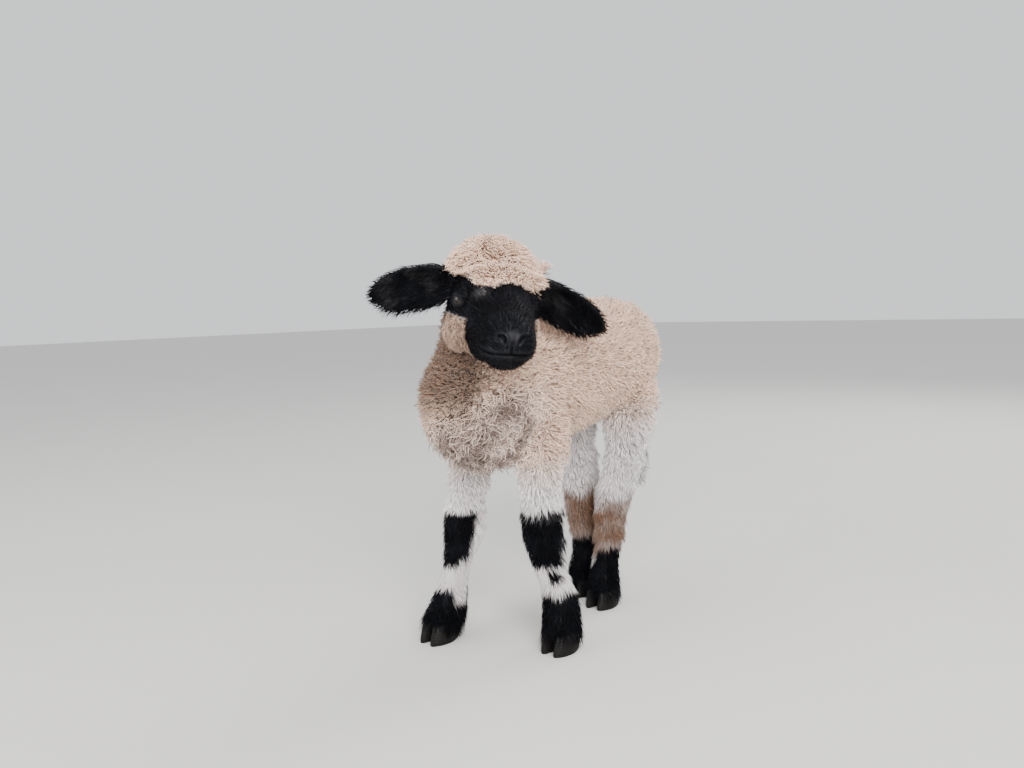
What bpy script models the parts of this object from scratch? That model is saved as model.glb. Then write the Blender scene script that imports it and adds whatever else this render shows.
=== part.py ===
"""A Valais blacknose lamb, life size, standing still with its head turned to its left.

Metres, +Z up. The lamb faces -Y, its left side is +X, and it stands on z = 0. Each named part of the body
is one closed solid, parted from the next by a cut 0.3 mm wide. The fleece is a core with rounded clumps
fused to it, whose tips give the outline of the coat.
"""

import math
import random

import bmesh
import bpy
from mathutils import Matrix, Vector

# Driving sizes of the lamb
COAT_DEPTH = 0.022  # wool on the body, from skin to tips
CLUMP_RISE = 0.5 * COAT_DEPTH  # the clumps are the outer half of the coat, over its core
LEG_RISE = 0.007  # the same on the upper legs and the tail
PARTING = 0.0003  # the gap between two parts that meet
FORE_CUT = 0.217  # height where a foreleg meets the torso
HIND_CUT = 0.237  # height where a hind leg meets the torso
KNEE_CUT = 0.160  # height where the woolly part of a foreleg ends
HOCK_CUT = 0.165
TAIL_CUT = 0.2835  # how far back the torso ends and the tail begins
NECK_CUT_POINT = Vector((0.0, -0.0425, 0.3425))
NECK_CUT_UP = Vector((0.0, -0.63, 0.777))
HOOF_HEIGHT = 0.024

# Where the head is and how it is turned
EYE_CENTRE = Vector((0.061, -0.080, 0.408))  # the point midway between the eyes
HEAD_TURN = math.radians(52.5)  # from straight ahead towards the lamb's left
HEAD_DROP = math.radians(20)  # nose below the level
HEAD_TILT = math.radians(-5)  # left ear lower
THROAT = (-0.018, -0.066)  # corner of the head's two cuts, forward of the eyes and above them
EYE_RADIUS = 0.0105
EYE_PLACE = (0.003, 0.0352, 0.001)  # forward, out and up from the point midway
EAR_ROOT = (-0.036, 0.039, 0.011)
EAR_LENGTH = 0.103
EAR_WIDTH = 0.047
EAR_THICKNESS = 0.0045
EAR_POSES = {  # how far each ear droops and sweeps back, and how far its cup turns to the ground
    1: (math.radians(33), math.radians(-9.5), 0.75),
    -1: (math.radians(10), math.radians(27.5), 0.15),
}
EAR_REACH = 0.007  # from the root to the plane where the ear leaves the head

# Stations of each form: centre x, y, z, then half the width across the lamb and half the depth
TRUNK = (
    (0.000, -0.092, 0.272, 0.012, 0.016),
    (0.000, -0.082, 0.276, 0.040, 0.046),
    (0.000, -0.058, 0.286, 0.059, 0.067),
    (0.000, -0.015, 0.302, 0.069, 0.079),
    (0.000, 0.045, 0.313, 0.073, 0.078),
    (0.000, 0.105, 0.3205, 0.077, 0.0745),
    (0.000, 0.160, 0.3285, 0.075, 0.0725),
    (0.000, 0.210, 0.333, 0.072, 0.072),
    (0.000, 0.247, 0.328, 0.060, 0.067),
    (0.000, 0.268, 0.323, 0.038, 0.046),
    (0.000, 0.276, 0.320, 0.010, 0.012),
)
NECK = (
    (0.000, -0.018, 0.270, 0.030, 0.030),
    (0.001, -0.026, 0.300, 0.058, 0.056),
    (0.006, -0.032, 0.330, 0.056, 0.056),
    (0.013, -0.037, 0.360, 0.051, 0.051),
    (0.018, -0.041, 0.390, 0.046, 0.046),
    (0.022, -0.044, 0.414, 0.040, 0.040),
    (0.024, -0.045, 0.428, 0.016, 0.016),
)
TAIL = (
    (0.000, 0.272, 0.370, 0.010, 0.010),
    (0.000, 0.289, 0.360, 0.014, 0.011),
    (-0.001, 0.2955, 0.334, 0.0155, 0.012),
    (-0.001, 0.297, 0.295, 0.0155, 0.012),
    (0.000, 0.297, 0.250, 0.014, 0.011),
    (0.002, 0.2955, 0.205, 0.0135, 0.0105),
    (0.003, 0.2945, 0.172, 0.0125, 0.0100),
    (0.003, 0.2930, 0.148, 0.0090, 0.0080),
    (0.003, 0.2920, 0.136, 0.0040, 0.0040),
)

# Stations of the head along its own axis: forward of the eyes, middle above them, half width, half height
SKULL = (
    (-0.068, 0.002, 0.010, 0.012),
    (-0.058, 0.000, 0.030, 0.034),
    (-0.038, -0.006, 0.042, 0.045),
    (-0.014, -0.010, 0.0455, 0.046),
    (0.006, -0.012, 0.0440, 0.043),
    (0.026, -0.015, 0.0376, 0.0370),
    (0.044, -0.017, 0.0328, 0.0318),
    (0.060, -0.0178, 0.0302, 0.0292),
    (0.072, -0.0193, 0.0282, 0.0266),
    (0.081, -0.0208, 0.0238, 0.0224),
    (0.0865, -0.0216, 0.0170, 0.0160),
    (0.0890, -0.0220, 0.0080, 0.0065),
)
# Stations of the wool cap's core, the same way
CAP = (
    (-0.072, 0.010, 0.010, 0.010),
    (-0.062, 0.011, 0.030, 0.028),
    (-0.042, 0.013, 0.043, 0.039),
    (-0.020, 0.014, 0.045, 0.039),
    (-0.003, 0.012, 0.037, 0.029),
    (0.007, 0.010, 0.010, 0.008),
)

# Each leg from the torso down: x, y, z, half width, half depth; woolly above, bare to the hair's tips below
FORELEG_LEFT = (
    (0.038, 0.002, 0.290, 0.020, 0.026),
    (0.044, 0.004, 0.262, 0.026, 0.031),
    (0.046, 0.005, 0.226, 0.0215, 0.026),
    (0.046, 0.007, 0.185, 0.0190, 0.0225),
    (0.0455, 0.0085, 0.155, 0.0225, 0.0265),
    (0.0470, 0.0095, 0.130, 0.0225, 0.0245),
    (0.0505, 0.0110, 0.105, 0.0182, 0.0190),
    (0.0570, 0.0160, 0.080, 0.0172, 0.0185),
    (0.0605, 0.0205, 0.056, 0.0205, 0.0225),
    (0.0640, 0.0185, 0.036, 0.0218, 0.0240),
    (0.0665, 0.0145, 0.018, 0.0218, 0.0248),
)
FORELEG_RIGHT = (
    (-0.038, 0.000, 0.290, 0.020, 0.026),
    (-0.044, -0.002, 0.262, 0.026, 0.031),
    (-0.048, -0.005, 0.226, 0.0215, 0.026),
    (-0.051, -0.012, 0.185, 0.0195, 0.0230),
    (-0.0530, -0.0180, 0.155, 0.0215, 0.0260),
    (-0.0545, -0.0230, 0.128, 0.0195, 0.0245),
    (-0.0575, -0.0262, 0.105, 0.0165, 0.0200),
    (-0.0610, -0.0295, 0.080, 0.0155, 0.0170),
    (-0.0650, -0.0335, 0.056, 0.0185, 0.0205),
    (-0.0675, -0.0385, 0.036, 0.0213, 0.0250),
    (-0.0705, -0.0480, 0.018, 0.0218, 0.0248),
)
HINDLEG_LEFT = (
    (0.034, 0.205, 0.310, 0.020, 0.030),
    (0.042, 0.208, 0.280, 0.028, 0.034),
    (0.044, 0.205, 0.245, 0.0250, 0.0310),
    (0.042, 0.201, 0.210, 0.0210, 0.0270),
    (0.034, 0.202, 0.175, 0.0210, 0.0275),
    (0.0250, 0.199, 0.148, 0.0200, 0.0275),
    (0.0225, 0.191, 0.122, 0.0178, 0.0230),
    (0.0260, 0.181, 0.090, 0.0165, 0.0205),
    (0.0265, 0.170, 0.058, 0.0172, 0.0190),
    (0.0270, 0.166, 0.038, 0.0195, 0.0212),
    (0.0280, 0.162, 0.018, 0.0206, 0.0235),
)
HINDLEG_RIGHT = (
    (-0.034, 0.205, 0.310, 0.020, 0.030),
    (-0.041, 0.204, 0.280, 0.028, 0.034),
    (-0.041, 0.198, 0.245, 0.0240, 0.0310),
    (-0.038, 0.196, 0.210, 0.0205, 0.0270),
    (-0.0360, 0.2045, 0.175, 0.0210, 0.0275),
    (-0.0370, 0.207, 0.148, 0.0200, 0.0275),
    (-0.0325, 0.200, 0.122, 0.0178, 0.0230),
    (-0.0245, 0.195, 0.090, 0.0165, 0.0205),
    (-0.0215, 0.191, 0.058, 0.0172, 0.0190),
    (-0.0220, 0.1885, 0.038, 0.0195, 0.0212),
    (-0.0225, 0.185, 0.018, 0.0206, 0.0235),
)
LEGS = {
    "foreleg_left": (FORELEG_LEFT, FORE_CUT, KNEE_CUT),
    "foreleg_right": (FORELEG_RIGHT, FORE_CUT, KNEE_CUT),
    "hindleg_left": (HINDLEG_LEFT, HIND_CUT, HOCK_CUT),
    "hindleg_right": (HINDLEG_RIGHT, HIND_CUT, HOCK_CUT),
}

# What each kind of surface is called, its colour and its roughness
LOOKS = {
    "wool": ("cream_wool", (0.72, 0.60, 0.50), 0.95),
    "black": ("black_coat", (0.018, 0.018, 0.022), 0.85),
    "eye": ("dark_eye", (0.06, 0.03, 0.015), 0.15),
    "horn": ("dark_horn", (0.035, 0.028, 0.024), 0.55),
}
ACROSS = Vector((1, 0, 0))


def clear_scene():
    for obj in list(bpy.data.objects):
        bpy.data.objects.remove(obj)


def material(name, colour, roughness):
    mat = bpy.data.materials.new(name)
    mat.use_nodes = True
    shader = mat.node_tree.nodes["Principled BSDF"]
    shader.inputs["Base Color"].default_value = (*colour, 1.0)
    shader.inputs["Roughness"].default_value = roughness
    shader.inputs["Metallic"].default_value = 0.0
    return mat


def mesh_object(name, bm, collection):
    bmesh.ops.recalc_face_normals(bm, faces=bm.faces)
    mesh = bpy.data.meshes.new(name)
    bm.to_mesh(mesh)
    bm.free()
    mesh.shade_smooth()
    obj = bpy.data.objects.new(name, mesh)
    obj.hide_render = True
    collection.objects.link(obj)
    return obj


def helper(obj):
    obj.display_type = "WIRE"
    return obj


def smooth_rows(stations, steps):
    """Rows of values on a Catmull-Rom curve through the stations, with so many steps in each span."""
    rows = []
    last = len(stations) - 1
    for i in range(last):
        a, b, c, d = (stations[min(max(k, 0), last)] for k in (i - 1, i, i + 1, i + 2))
        for step in range(steps):
            t = step / steps
            row = []
            for p, q, r, s in zip(a, b, c, d):
                bend = 2 * q + (r - p) * t + (2 * p - 5 * q + 4 * r - s) * t * t
                row.append(0.5 * (bend + (3 * q - p - 3 * r + s) * t**3))
            rows.append(tuple(row))
    rows.append(stations[-1])
    return rows


def section_axes(rows, across):
    """For each row, the way along the form, the way across it and the third axis."""
    points = [Vector(row[:3]) for row in rows]
    axes = []
    for i in range(len(points)):
        along = (points[min(i + 1, len(points) - 1)] - points[max(i - 1, 0)]).normalized()
        side = (across - along * across.dot(along)).normalized()
        axes.append((along, side, along.cross(side)))
    return axes


def loft(name, rows, across, sides, collection):
    """A closed form through elliptical sections, with a pole at each end."""
    bm = bmesh.new()
    rings = []
    axes = section_axes(rows, across)
    for row, (_, side, third) in zip(rows, axes):
        centre = Vector(row[:3])
        ring = []
        for k in range(sides):
            turn = 2 * math.pi * k / sides
            offset = side * row[3] * math.cos(turn) + third * row[4] * math.sin(turn)
            ring.append(bm.verts.new(centre + offset))
        rings.append(ring)
    join_rings(bm, rings)
    for end, way in ((0, -1), (-1, 1)):
        ring, row, along = rings[end], rows[end], axes[end][0]
        pole = bm.verts.new(Vector(row[:3]) + along * way * 0.5 * min(row[3], row[4]))
        for k in range(sides):
            bm.faces.new((ring[k], ring[(k + 1) % sides], pole))
    return mesh_object(name, bm, collection)


def join_rings(bm, rings):
    for low, high in zip(rings, rings[1:]):
        for k in range(len(low)):
            n = (k + 1) % len(low)
            bm.faces.new((low[k], low[n], high[n], high[k]))


def loft_sites(rows, across, pitch, seed):
    """Places on a loft about a pitch apart, staggered ring by ring: point, outward way, way along."""
    rng = random.Random(seed)
    sites = []
    axes = section_axes(rows, across)
    spacing = pitch * math.sqrt(3) / 2
    travelled, due, ring_number = 0.0, 0.0, 0
    for i in range(len(rows) - 1):
        step = (Vector(rows[i + 1][:3]) - Vector(rows[i][:3])).length
        slope_side = (rows[i + 1][3] - rows[i][3]) / step
        slope_third = (rows[i + 1][4] - rows[i][4]) / step
        travelled += math.hypot(step, 0.5 * (abs(slope_side) + abs(slope_third)) * step)
        if travelled < due:
            continue
        due += spacing
        ring_number += 1
        along, side, third = axes[i]
        centre = Vector(rows[i][:3])
        wide, deep = rows[i][3], rows[i][4]
        around = math.pi * (3 * (wide + deep) - math.sqrt((3 * wide + deep) * (wide + 3 * deep)))
        count = max(1, round(around / pitch))
        for k in range(count):
            turn = 2 * math.pi * (k + 0.5 * (ring_number % 2) + rng.uniform(-0.12, 0.12)) / count
            cos, sin = math.cos(turn), math.sin(turn)
            point = centre + side * wide * cos + third * deep * sin
            out = (side * cos / wide + third * sin / deep).normalized()
            lean = slope_side * cos * cos + slope_third * sin * sin
            sites.append((point, (out - along * lean).normalized(), along))
    return sites


def wool_sites():
    """Every clump of the fleece: its place and ways, the way its tip leans, its radius and its rise."""
    head = head_matrix()
    turn = head.to_3x3()
    back_and_down = Vector((0.0, 0.6, -0.8))
    down = Vector((0.0, 0.0, -1.0))
    wool = []

    def cover(rows, across, pitch, radius, rise, lie, seed):
        rng = random.Random(seed + 100)
        for point, out, along in loft_sites(rows, across, pitch, seed):
            flow = lie - out * lie.dot(out)
            flow = flow.normalized() if flow.length > 1e-3 else out.orthogonal().normalized()
            spread = radius * rng.uniform(0.92, 1.08)
            height = rise * rng.uniform(0.88, 1.0)
            wool.append((point, out, flow, spread, height, rng.uniform(0, math.pi)))

    cover(smooth_rows(TRUNK, 8), ACROSS, 0.0470, 0.0270, CLUMP_RISE, back_and_down, 11)
    cover(smooth_rows(NECK, 8), ACROSS, 0.037, 0.0215, CLUMP_RISE, down, 12)
    cover(smooth_rows(TAIL, 8), ACROSS, 0.034, 0.0200, 0.006, down, 13)
    left, over_brow = turn @ Vector((0, 1, 0)), turn @ Vector((0.8, 0.0, -0.5))
    cover(head_rows(CAP, 8), left, 0.033, 0.0190, 0.009, over_brow, 14)
    for number, (stations, _, shin) in enumerate(LEGS.values()):
        upper = [row for row in smooth_rows(stations, 8) if row[2] > shin + 0.008]
        cover(upper, ACROSS, 0.034, 0.0200, LEG_RISE, down, 20 + number)
    return wool


def clump(site, collection):
    """A rounded clump of curls: a ring sunk at the root, one near the top and a crown along the lie."""
    point, out, flow, spread, height, spin = site
    cross = out.cross(flow)
    sides = 6
    bm = bmesh.new()
    rings = []
    for level, width, lean in ((-0.50, 1.00, 0.0), (0.50, 0.80, 0.05)):
        ring = []
        for k in range(sides):
            turn = spin + 2 * math.pi * k / sides
            offset = flow * (math.cos(turn) * width + lean) + cross * math.sin(turn) * width
            ring.append(bm.verts.new(point + offset * spread + out * height * level))
        rings.append(ring)
    join_rings(bm, rings)
    crown = bm.verts.new(point + flow * 0.10 * spread + out * height)
    for k in range(sides):
        bm.faces.new((rings[-1][k], rings[-1][(k + 1) % sides], crown))
    bm.faces.new(list(reversed(rings[0])))
    return mesh_object("clump", bm, collection)


def block(low, high, collection, place=None):
    """A box to cut with, between two corners."""
    bm = bmesh.new()
    bmesh.ops.create_cube(bm, size=1.0)
    low, high = Vector(low), Vector(high)
    bmesh.ops.scale(bm, vec=high - low, verts=bm.verts)
    bmesh.ops.translate(bm, vec=(low + high) / 2, verts=bm.verts)
    if place:
        bmesh.ops.transform(bm, matrix=place, verts=bm.verts)
    return helper(mesh_object("cutter", bm, collection))


def slab(point, normal, offset, collection):
    """A large box with one face square to the normal, so far beyond the point."""
    place = Matrix.Translation(point) @ Vector(normal).to_track_quat("Z", "Y").to_matrix().to_4x4()
    return block((-0.4, -0.4, offset), (0.4, 0.4, 0.5), collection, place)


def apply_boolean(obj, operation, other):
    """Adds one Boolean with an object or a whole collection, and applies it.

    MANIFOLD, because EXACT takes minutes on the fleece's many crossing clumps.
    """
    modifier = obj.modifiers.new(operation.lower(), "BOOLEAN")
    modifier.operation = operation
    modifier.solver = "MANIFOLD"
    if isinstance(other, bpy.types.Collection):
        modifier.operand_type = "COLLECTION"
        modifier.collection = other
    else:
        modifier.object = other
    bpy.context.view_layer.update()
    graph = bpy.context.evaluated_depsgraph_get()
    mesh = bpy.data.meshes.new_from_object(obj.evaluated_get(graph))
    obj.modifiers.clear()
    obj.data = mesh


def keep_largest(obj):
    """Leaves only the largest closed surface of the object."""
    bm = bmesh.new()
    bm.from_mesh(obj.data)
    left = set(bm.verts)
    groups = []
    while left:
        stack = [left.pop()]
        group = list(stack)
        while stack:
            for edge in stack.pop().link_edges:
                for vert in edge.verts:
                    if vert in left:
                        left.remove(vert)
                        stack.append(vert)
                        group.append(vert)
        groups.append(group)
    groups.sort(key=len)
    loose = [vert for group in groups[:-1] for vert in group]
    bmesh.ops.delete(bm, geom=loose, context="VERTS")
    bm.to_mesh(obj.data)
    bm.free()


def fuse(name, cores, wool, cuts, look, collection):
    """One node: cores and clumps joined by one union on their collection, then cut and left as one body.

    Its look is the name, colour and roughness of its own material.
    """
    pieces = bpy.data.collections.new(name + "_pieces")
    bpy.context.scene.collection.children.link(pieces)
    made = [make(pieces) for make in cores]
    for site in wool:
        clump(site, pieces)
    node = made[0]
    pieces.objects.unlink(node)
    collection.objects.link(node)
    node.name = name
    node.hide_render = False
    if pieces.objects:
        apply_boolean(node, "UNION", pieces)
    for obj in list(pieces.objects):
        bpy.data.objects.remove(obj)
    for operation, cutter in cuts:
        tool = cutter(pieces)
        apply_boolean(node, operation, tool)
        bpy.data.objects.remove(tool)
    bpy.data.collections.remove(pieces)
    keep_largest(node)
    node.data.materials.clear()
    node.data.materials.append(material(name + "_" + look[0], *look[1:]))
    return node


def head_matrix():
    """Columns are the head's forward, left and up ways; the place is midway between the eyes."""
    forward = Vector((
        math.cos(HEAD_DROP) * math.sin(HEAD_TURN),
        -math.cos(HEAD_DROP) * math.cos(HEAD_TURN),
        -math.sin(HEAD_DROP),
    ))
    left = Vector((math.cos(HEAD_TURN), math.sin(HEAD_TURN), 0.0))
    left = Matrix.Rotation(HEAD_TILT, 3, forward) @ left
    axes = Matrix((forward, left, forward.cross(left))).transposed().to_4x4()
    return Matrix.Translation(EYE_CENTRE) @ axes


def body_loft(name, stations, steps, sides):
    return lambda collection: loft(name, smooth_rows(stations, steps), ACROSS, sides, collection)


def head_rows(stations, steps):
    """Smooth rows of a form along the head, carried from the head's own axes."""
    head = head_matrix()
    rows = []
    for forward, above, wide, high in smooth_rows(stations, steps):
        rows.append((*(head @ Vector((forward, 0.0, above))), wide, high))
    return rows


def head_loft(name, stations, steps, sides):
    """A loft along the head, from stations in the head's own axes."""
    left = head_matrix().to_3x3() @ Vector((0, 1, 0))
    rows = head_rows(stations, steps)
    return lambda collection: loft(name, rows, left, sides, collection)


def head_wedge(inset):
    """The region of the head: in front of the nape and above the throat, held in by the inset."""
    head = head_matrix()
    up_back = Vector((-0.66, 0.0, 0.75))
    forward = Vector((0.995, 0.0, 0.104))
    slide = inset / 0.815
    corner = Vector((THROAT[0], 0.0, THROAT[1])) + (up_back + forward) * slide

    def make(collection):
        bm = bmesh.new()
        bmesh.ops.create_cube(bm, size=1.0)
        for vert in bm.verts:
            a, b, c = vert.co + Vector((0.5, 0.0, 0.5))
            vert.co = head @ (corner + forward * a * 0.3 + up_back * c * 0.3 + Vector((0, b * 0.5, 0)))
        return helper(mesh_object("cutter", bm, collection))

    return make


def ear_place(side):
    """The ear's frame: along it, the way its cup opens, and across, from the root at the head's side."""
    head = head_matrix()
    droop, sweep, turned = EAR_POSES[side]
    ahead = Vector((math.sin(HEAD_TURN), -math.cos(HEAD_TURN), 0.0))
    left = Vector((math.cos(HEAD_TURN), math.sin(HEAD_TURN), 0.0))
    level = left * side * math.cos(sweep) - ahead * math.sin(sweep)
    along = level * math.cos(droop) - Vector((0, 0, math.sin(droop)))
    opens = ahead - Vector((0, 0, turned))
    opens = (opens - along * opens.dot(along)).normalized()
    frame = Matrix((along, opens, along.cross(opens))).transposed()
    root = head @ Vector((EAR_ROOT[0], side * EAR_ROOT[1], EAR_ROOT[2]))
    return Matrix.Translation(root) @ frame.to_4x4()


def ear_leaf(side):
    """A leaf curled into a cup, tubular at the root and open towards the tip, alike on both faces."""
    place = ear_place(side)
    lengths, widths = 10, 6

    def make(collection):
        bm = bmesh.new()
        grid = []
        for i in range(lengths + 1):
            s = i / lengths
            half = EAR_WIDTH / 2 * (0.62 + 0.38 * math.sin(math.pi * min(1.0, 0.9 * s + 0.05)))
            half *= 1.0 if s < 0.68 else math.sqrt(max(0.06, 1 - ((s - 0.68) / 0.33) ** 2))
            curl = 1.25 * (1 - s) ** 1.5 + 0.55
            bow = 0.005 * math.sin(math.pi * s)
            row = []
            for j in range(widths + 1):
                t = 2 * j / widths - 1
                radius = half / min(1.0, math.sin(min(curl, math.pi / 2)))
                across = radius * math.sin(curl * t)
                depth = radius * (math.cos(curl * t) - 1) * -1
                row.append(bm.verts.new(place @ Vector((s * EAR_LENGTH, depth - bow - 0.004, across))))
            grid.append(row)
        for low, high in zip(grid, grid[1:]):
            for j in range(widths):
                bm.faces.new((low[j], low[j + 1], high[j + 1], high[j]))
        leaf = mesh_object("leaf", bm, collection)
        thicken = leaf.modifiers.new("thicken", "SOLIDIFY")
        thicken.thickness = EAR_THICKNESS
        thicken.offset = 0.0
        bpy.context.view_layer.update()
        graph = bpy.context.evaluated_depsgraph_get()
        leaf.data = bpy.data.meshes.new_from_object(leaf.evaluated_get(graph))
        leaf.modifiers.clear()
        return leaf

    return make


def ear_block(side, inset):
    """The region of an ear: a box round it, from where it leaves the head."""
    place = ear_place(side)
    low = (EAR_REACH + inset, -0.030 + inset, -0.034 + inset)
    high = (0.14, 0.050 - inset, 0.034 - inset)
    return lambda collection: block(low, high, collection, place)


def ball(centre, radii, detail, collection, turn=None):
    """An ellipsoid to fuse or to cut with."""
    bm = bmesh.new()
    bmesh.ops.create_icosphere(bm, subdivisions=detail, radius=1.0)
    bmesh.ops.scale(bm, vec=radii, verts=bm.verts)
    place = Matrix.Translation(centre) @ (turn.to_4x4() if turn else Matrix.Identity(4))
    bmesh.ops.transform(bm, matrix=place, verts=bm.verts)
    return mesh_object("ball", bm, collection)


def head_ball(place, radii, detail, yaw=0.0, roll=0.0):
    """An ellipsoid placed and turned in the head's axes."""
    head = head_matrix()
    turn = head.to_3x3() @ Matrix.Rotation(yaw, 3, "Z") @ Matrix.Rotation(roll, 3, "X")
    return lambda collection: ball(head @ Vector(place), radii, detail, collection, turn)


def mouth_line():
    """A thin horseshoe plate round the muzzle, to cut the line of the mouth 3 mm deep."""
    head = head_matrix()
    steps = 14

    def make(collection):
        bm = bmesh.new()
        rings = []
        for i in range(steps + 1):
            turn = math.radians(-125 + 250 * i / steps)
            ahead, out = math.cos(turn), math.sin(turn)
            level = -0.0245 + 0.003 * (1 - max(0.0, ahead))
            ring = []
            for reach, lift in ((-0.0035, -0.0007), (0.006, -0.0012), (0.006, 0.0012), (-0.0035, 0.0007)):
                ring.append(bm.verts.new(head @ Vector((
                    0.055 + (0.0305 + reach) * ahead, (0.0278 + reach) * out, level + lift,
                ))))
            rings.append(ring)
        join_rings(bm, rings)
        bm.faces.new(rings[0])
        bm.faces.new(rings[-1])
        return helper(mesh_object("cutter", bm, collection))

    return make


def make_torso(wool, collection):
    cores = [body_loft("trunk", TRUNK, 1, 16), body_loft("neck", NECK, 1, 14)]
    cuts = [("DIFFERENCE", lambda c: slab(NECK_CUT_POINT, NECK_CUT_UP, 0.0, c))]
    cuts.append(("DIFFERENCE", lambda c: slab((0, TAIL_CUT, 0.3), (0, 1, 0), 0.0, c)))
    cuts.append(("DIFFERENCE", head_wedge(0.0)))
    for name, (stations, cut, _) in LEGS.items():
        cores.append(body_loft("leg", stations, 1, 10))
        cuts.append(("DIFFERENCE", leg_block(name, cut, 0.0)))
    near = []
    for site in wool:
        below_neck = (site[0] - NECK_CUT_POINT).dot(NECK_CUT_UP) < 0.02
        if below_neck and site[0].y < TAIL_CUT - 0.004 and site[0].z > 0.205:
            near.append(site)
    return fuse("torso", cores, near, cuts, LOOKS["wool"], collection)


def leg_block(name, top, inset):
    """The region of a leg: everything on its side of the lamb below its cut."""
    side = 1 if name.endswith("left") else -1
    y_low, y_high = (-0.08, 0.075) if name.startswith("fore") else (0.142, 0.262)
    inner, outer = sorted((side * (0.002 + inset), side * 0.13))
    low = (inner, y_low + inset, -0.05)
    high = (outer, y_high - inset, top - inset)
    return lambda collection: block(low, high, collection)


def make_neck(wool, collection):
    cores = [body_loft("neck", NECK, 1, 14), body_loft("trunk", TRUNK, 1, 16)]
    cuts = [("DIFFERENCE", lambda c: slab(NECK_CUT_POINT, -NECK_CUT_UP, -PARTING, c))]
    cuts.append(("DIFFERENCE", head_wedge(0.0)))
    near = []
    for site in wool:
        above_cut = (site[0] - NECK_CUT_POINT).dot(NECK_CUT_UP) > -0.02
        if above_cut and site[0].y < 0.10 and site[0].z < 0.435:
            near.append(site)
    return fuse("neck", cores, near, cuts, LOOKS["wool"], collection)


def make_head(wool, collection):
    head = head_matrix()
    inverse = head.inverted()
    f, out, up = EYE_PLACE
    cores = [head_loft("skull", SKULL, 2, 16), head_loft("cap", CAP, 1, 12), body_loft("neck", NECK, 1, 14)]
    cuts = [("INTERSECT", head_wedge(PARTING))]
    for side in (1, -1):
        brow = head_ball((f + 0.001, side * (out - 0.0005), up + 0.001), (0.017, 0.0115, 0.0125), 2)
        cores.append(brow)
        cores.append(head_ball((0.066, side * 0.0158, -0.025), (0.018, 0.0130, 0.0115), 2))
        cores.append(head_ball((0.036, side * 0.0155, -0.0335), (0.028, 0.0150, 0.0150), 2))
        before_eye = (f + 0.001, side * (out + 0.010), up)
        opening = head_ball(before_eye, (0.0100, 0.0100, 0.0062), 2, roll=side * 0.15)
        cuts.append(("DIFFERENCE", opening))
        cuts.append(("DIFFERENCE", head_ball((f, side * out, up), (EYE_RADIUS + PARTING,) * 3, 2)))
        nose_side = (0.0825, side * 0.0100, -0.0060)
        nostril = head_ball(nose_side, (0.0090, 0.0024, 0.0060), 2, -side * 0.4, -side * 0.95)
        cuts.append(("DIFFERENCE", nostril))
        cuts.append(("DIFFERENCE", ear_block(side, 0.0)))
    cores.append(head_ball((0.066, 0.0, -0.0375), (0.0170, 0.0168, 0.0086), 2))
    cuts.append(("DIFFERENCE", mouth_line()))
    near = []
    for site in wool:
        place = inverse @ site[0]
        on_cap = -0.1 < place.x < 0.004 and place.z > -0.03 and site[0].z > 0.38
        ahead, above = place.x - THROAT[0], place.z - THROAT[1]
        in_wedge = 0.995 * above - 0.104 * ahead > 0.004 and 0.75 * ahead + 0.66 * above > 0
        if on_cap or (in_wedge and place.z < -0.045):
            near.append(site)
    return fuse("head", cores, near, cuts, LOOKS["black"], collection)


def make_eyes(collection):
    f, out, up = EYE_PLACE
    for name, side in (("eye_left", 1), ("eye_right", -1)):
        fuse(name, [head_ball((f, side * out, up), (EYE_RADIUS,) * 3, 2)], [], [], LOOKS["eye"], collection)


def make_ears(collection):
    for name, side in (("ear_left", 1), ("ear_right", -1)):
        cuts = [("INTERSECT", ear_block(side, PARTING))]
        fuse(name, [ear_leaf(side)], [], cuts, LOOKS["black"], collection)


def make_tail(wool, collection):
    near = [s for s in wool if s[0].y > TAIL_CUT - 0.003 and abs(s[0].x) < 0.03]
    cuts = [("DIFFERENCE", lambda c: slab((0, TAIL_CUT, 0.3), (0, -1, 0), -PARTING, c))]
    return fuse("tail", [body_loft("tail", TAIL, 2, 10)], near, cuts, LOOKS["wool"], collection)


def make_legs(wool, collection):
    for name, (stations, cut, shin) in LEGS.items():
        top = Vector(stations[2][:3])
        low = [site for site in wool if site[0].z < cut + 0.025 and site[0].x * top.x > 0]
        near = [site for site in low if abs(site[0].y - top.y) < 0.07]
        cores = [body_loft("leg", stations, 1, 10), body_loft("trunk", TRUNK, 1, 16)]
        if name.startswith("fore"):
            cores.append(body_loft("neck", NECK, 1, 14))
        keep = ("INTERSECT", leg_block(name, cut, PARTING))
        below = ("DIFFERENCE", lambda c: slab((0, 0, shin), (0, 0, -1), 0.0, c))
        fuse("upper_" + name, cores, near, [keep, below], LOOKS["wool"], collection)
        above = ("DIFFERENCE", lambda c: slab((0, 0, shin - PARTING), (0, 0, 1), 0.0, c))
        foot = ("DIFFERENCE", lambda c: slab((0, 0, HOOF_HEIGHT), (0, 0, -1), 0.0, c))
        knee = [site for site in near if site[0].z < shin + 0.02]
        shank = body_loft("leg", stations, 2, 10)
        fuse("lower_" + name, [shank], knee, [above, foot], LOOKS["black"], collection)
        make_claws(name, Vector(stations[-1][:3]), collection)


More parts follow.
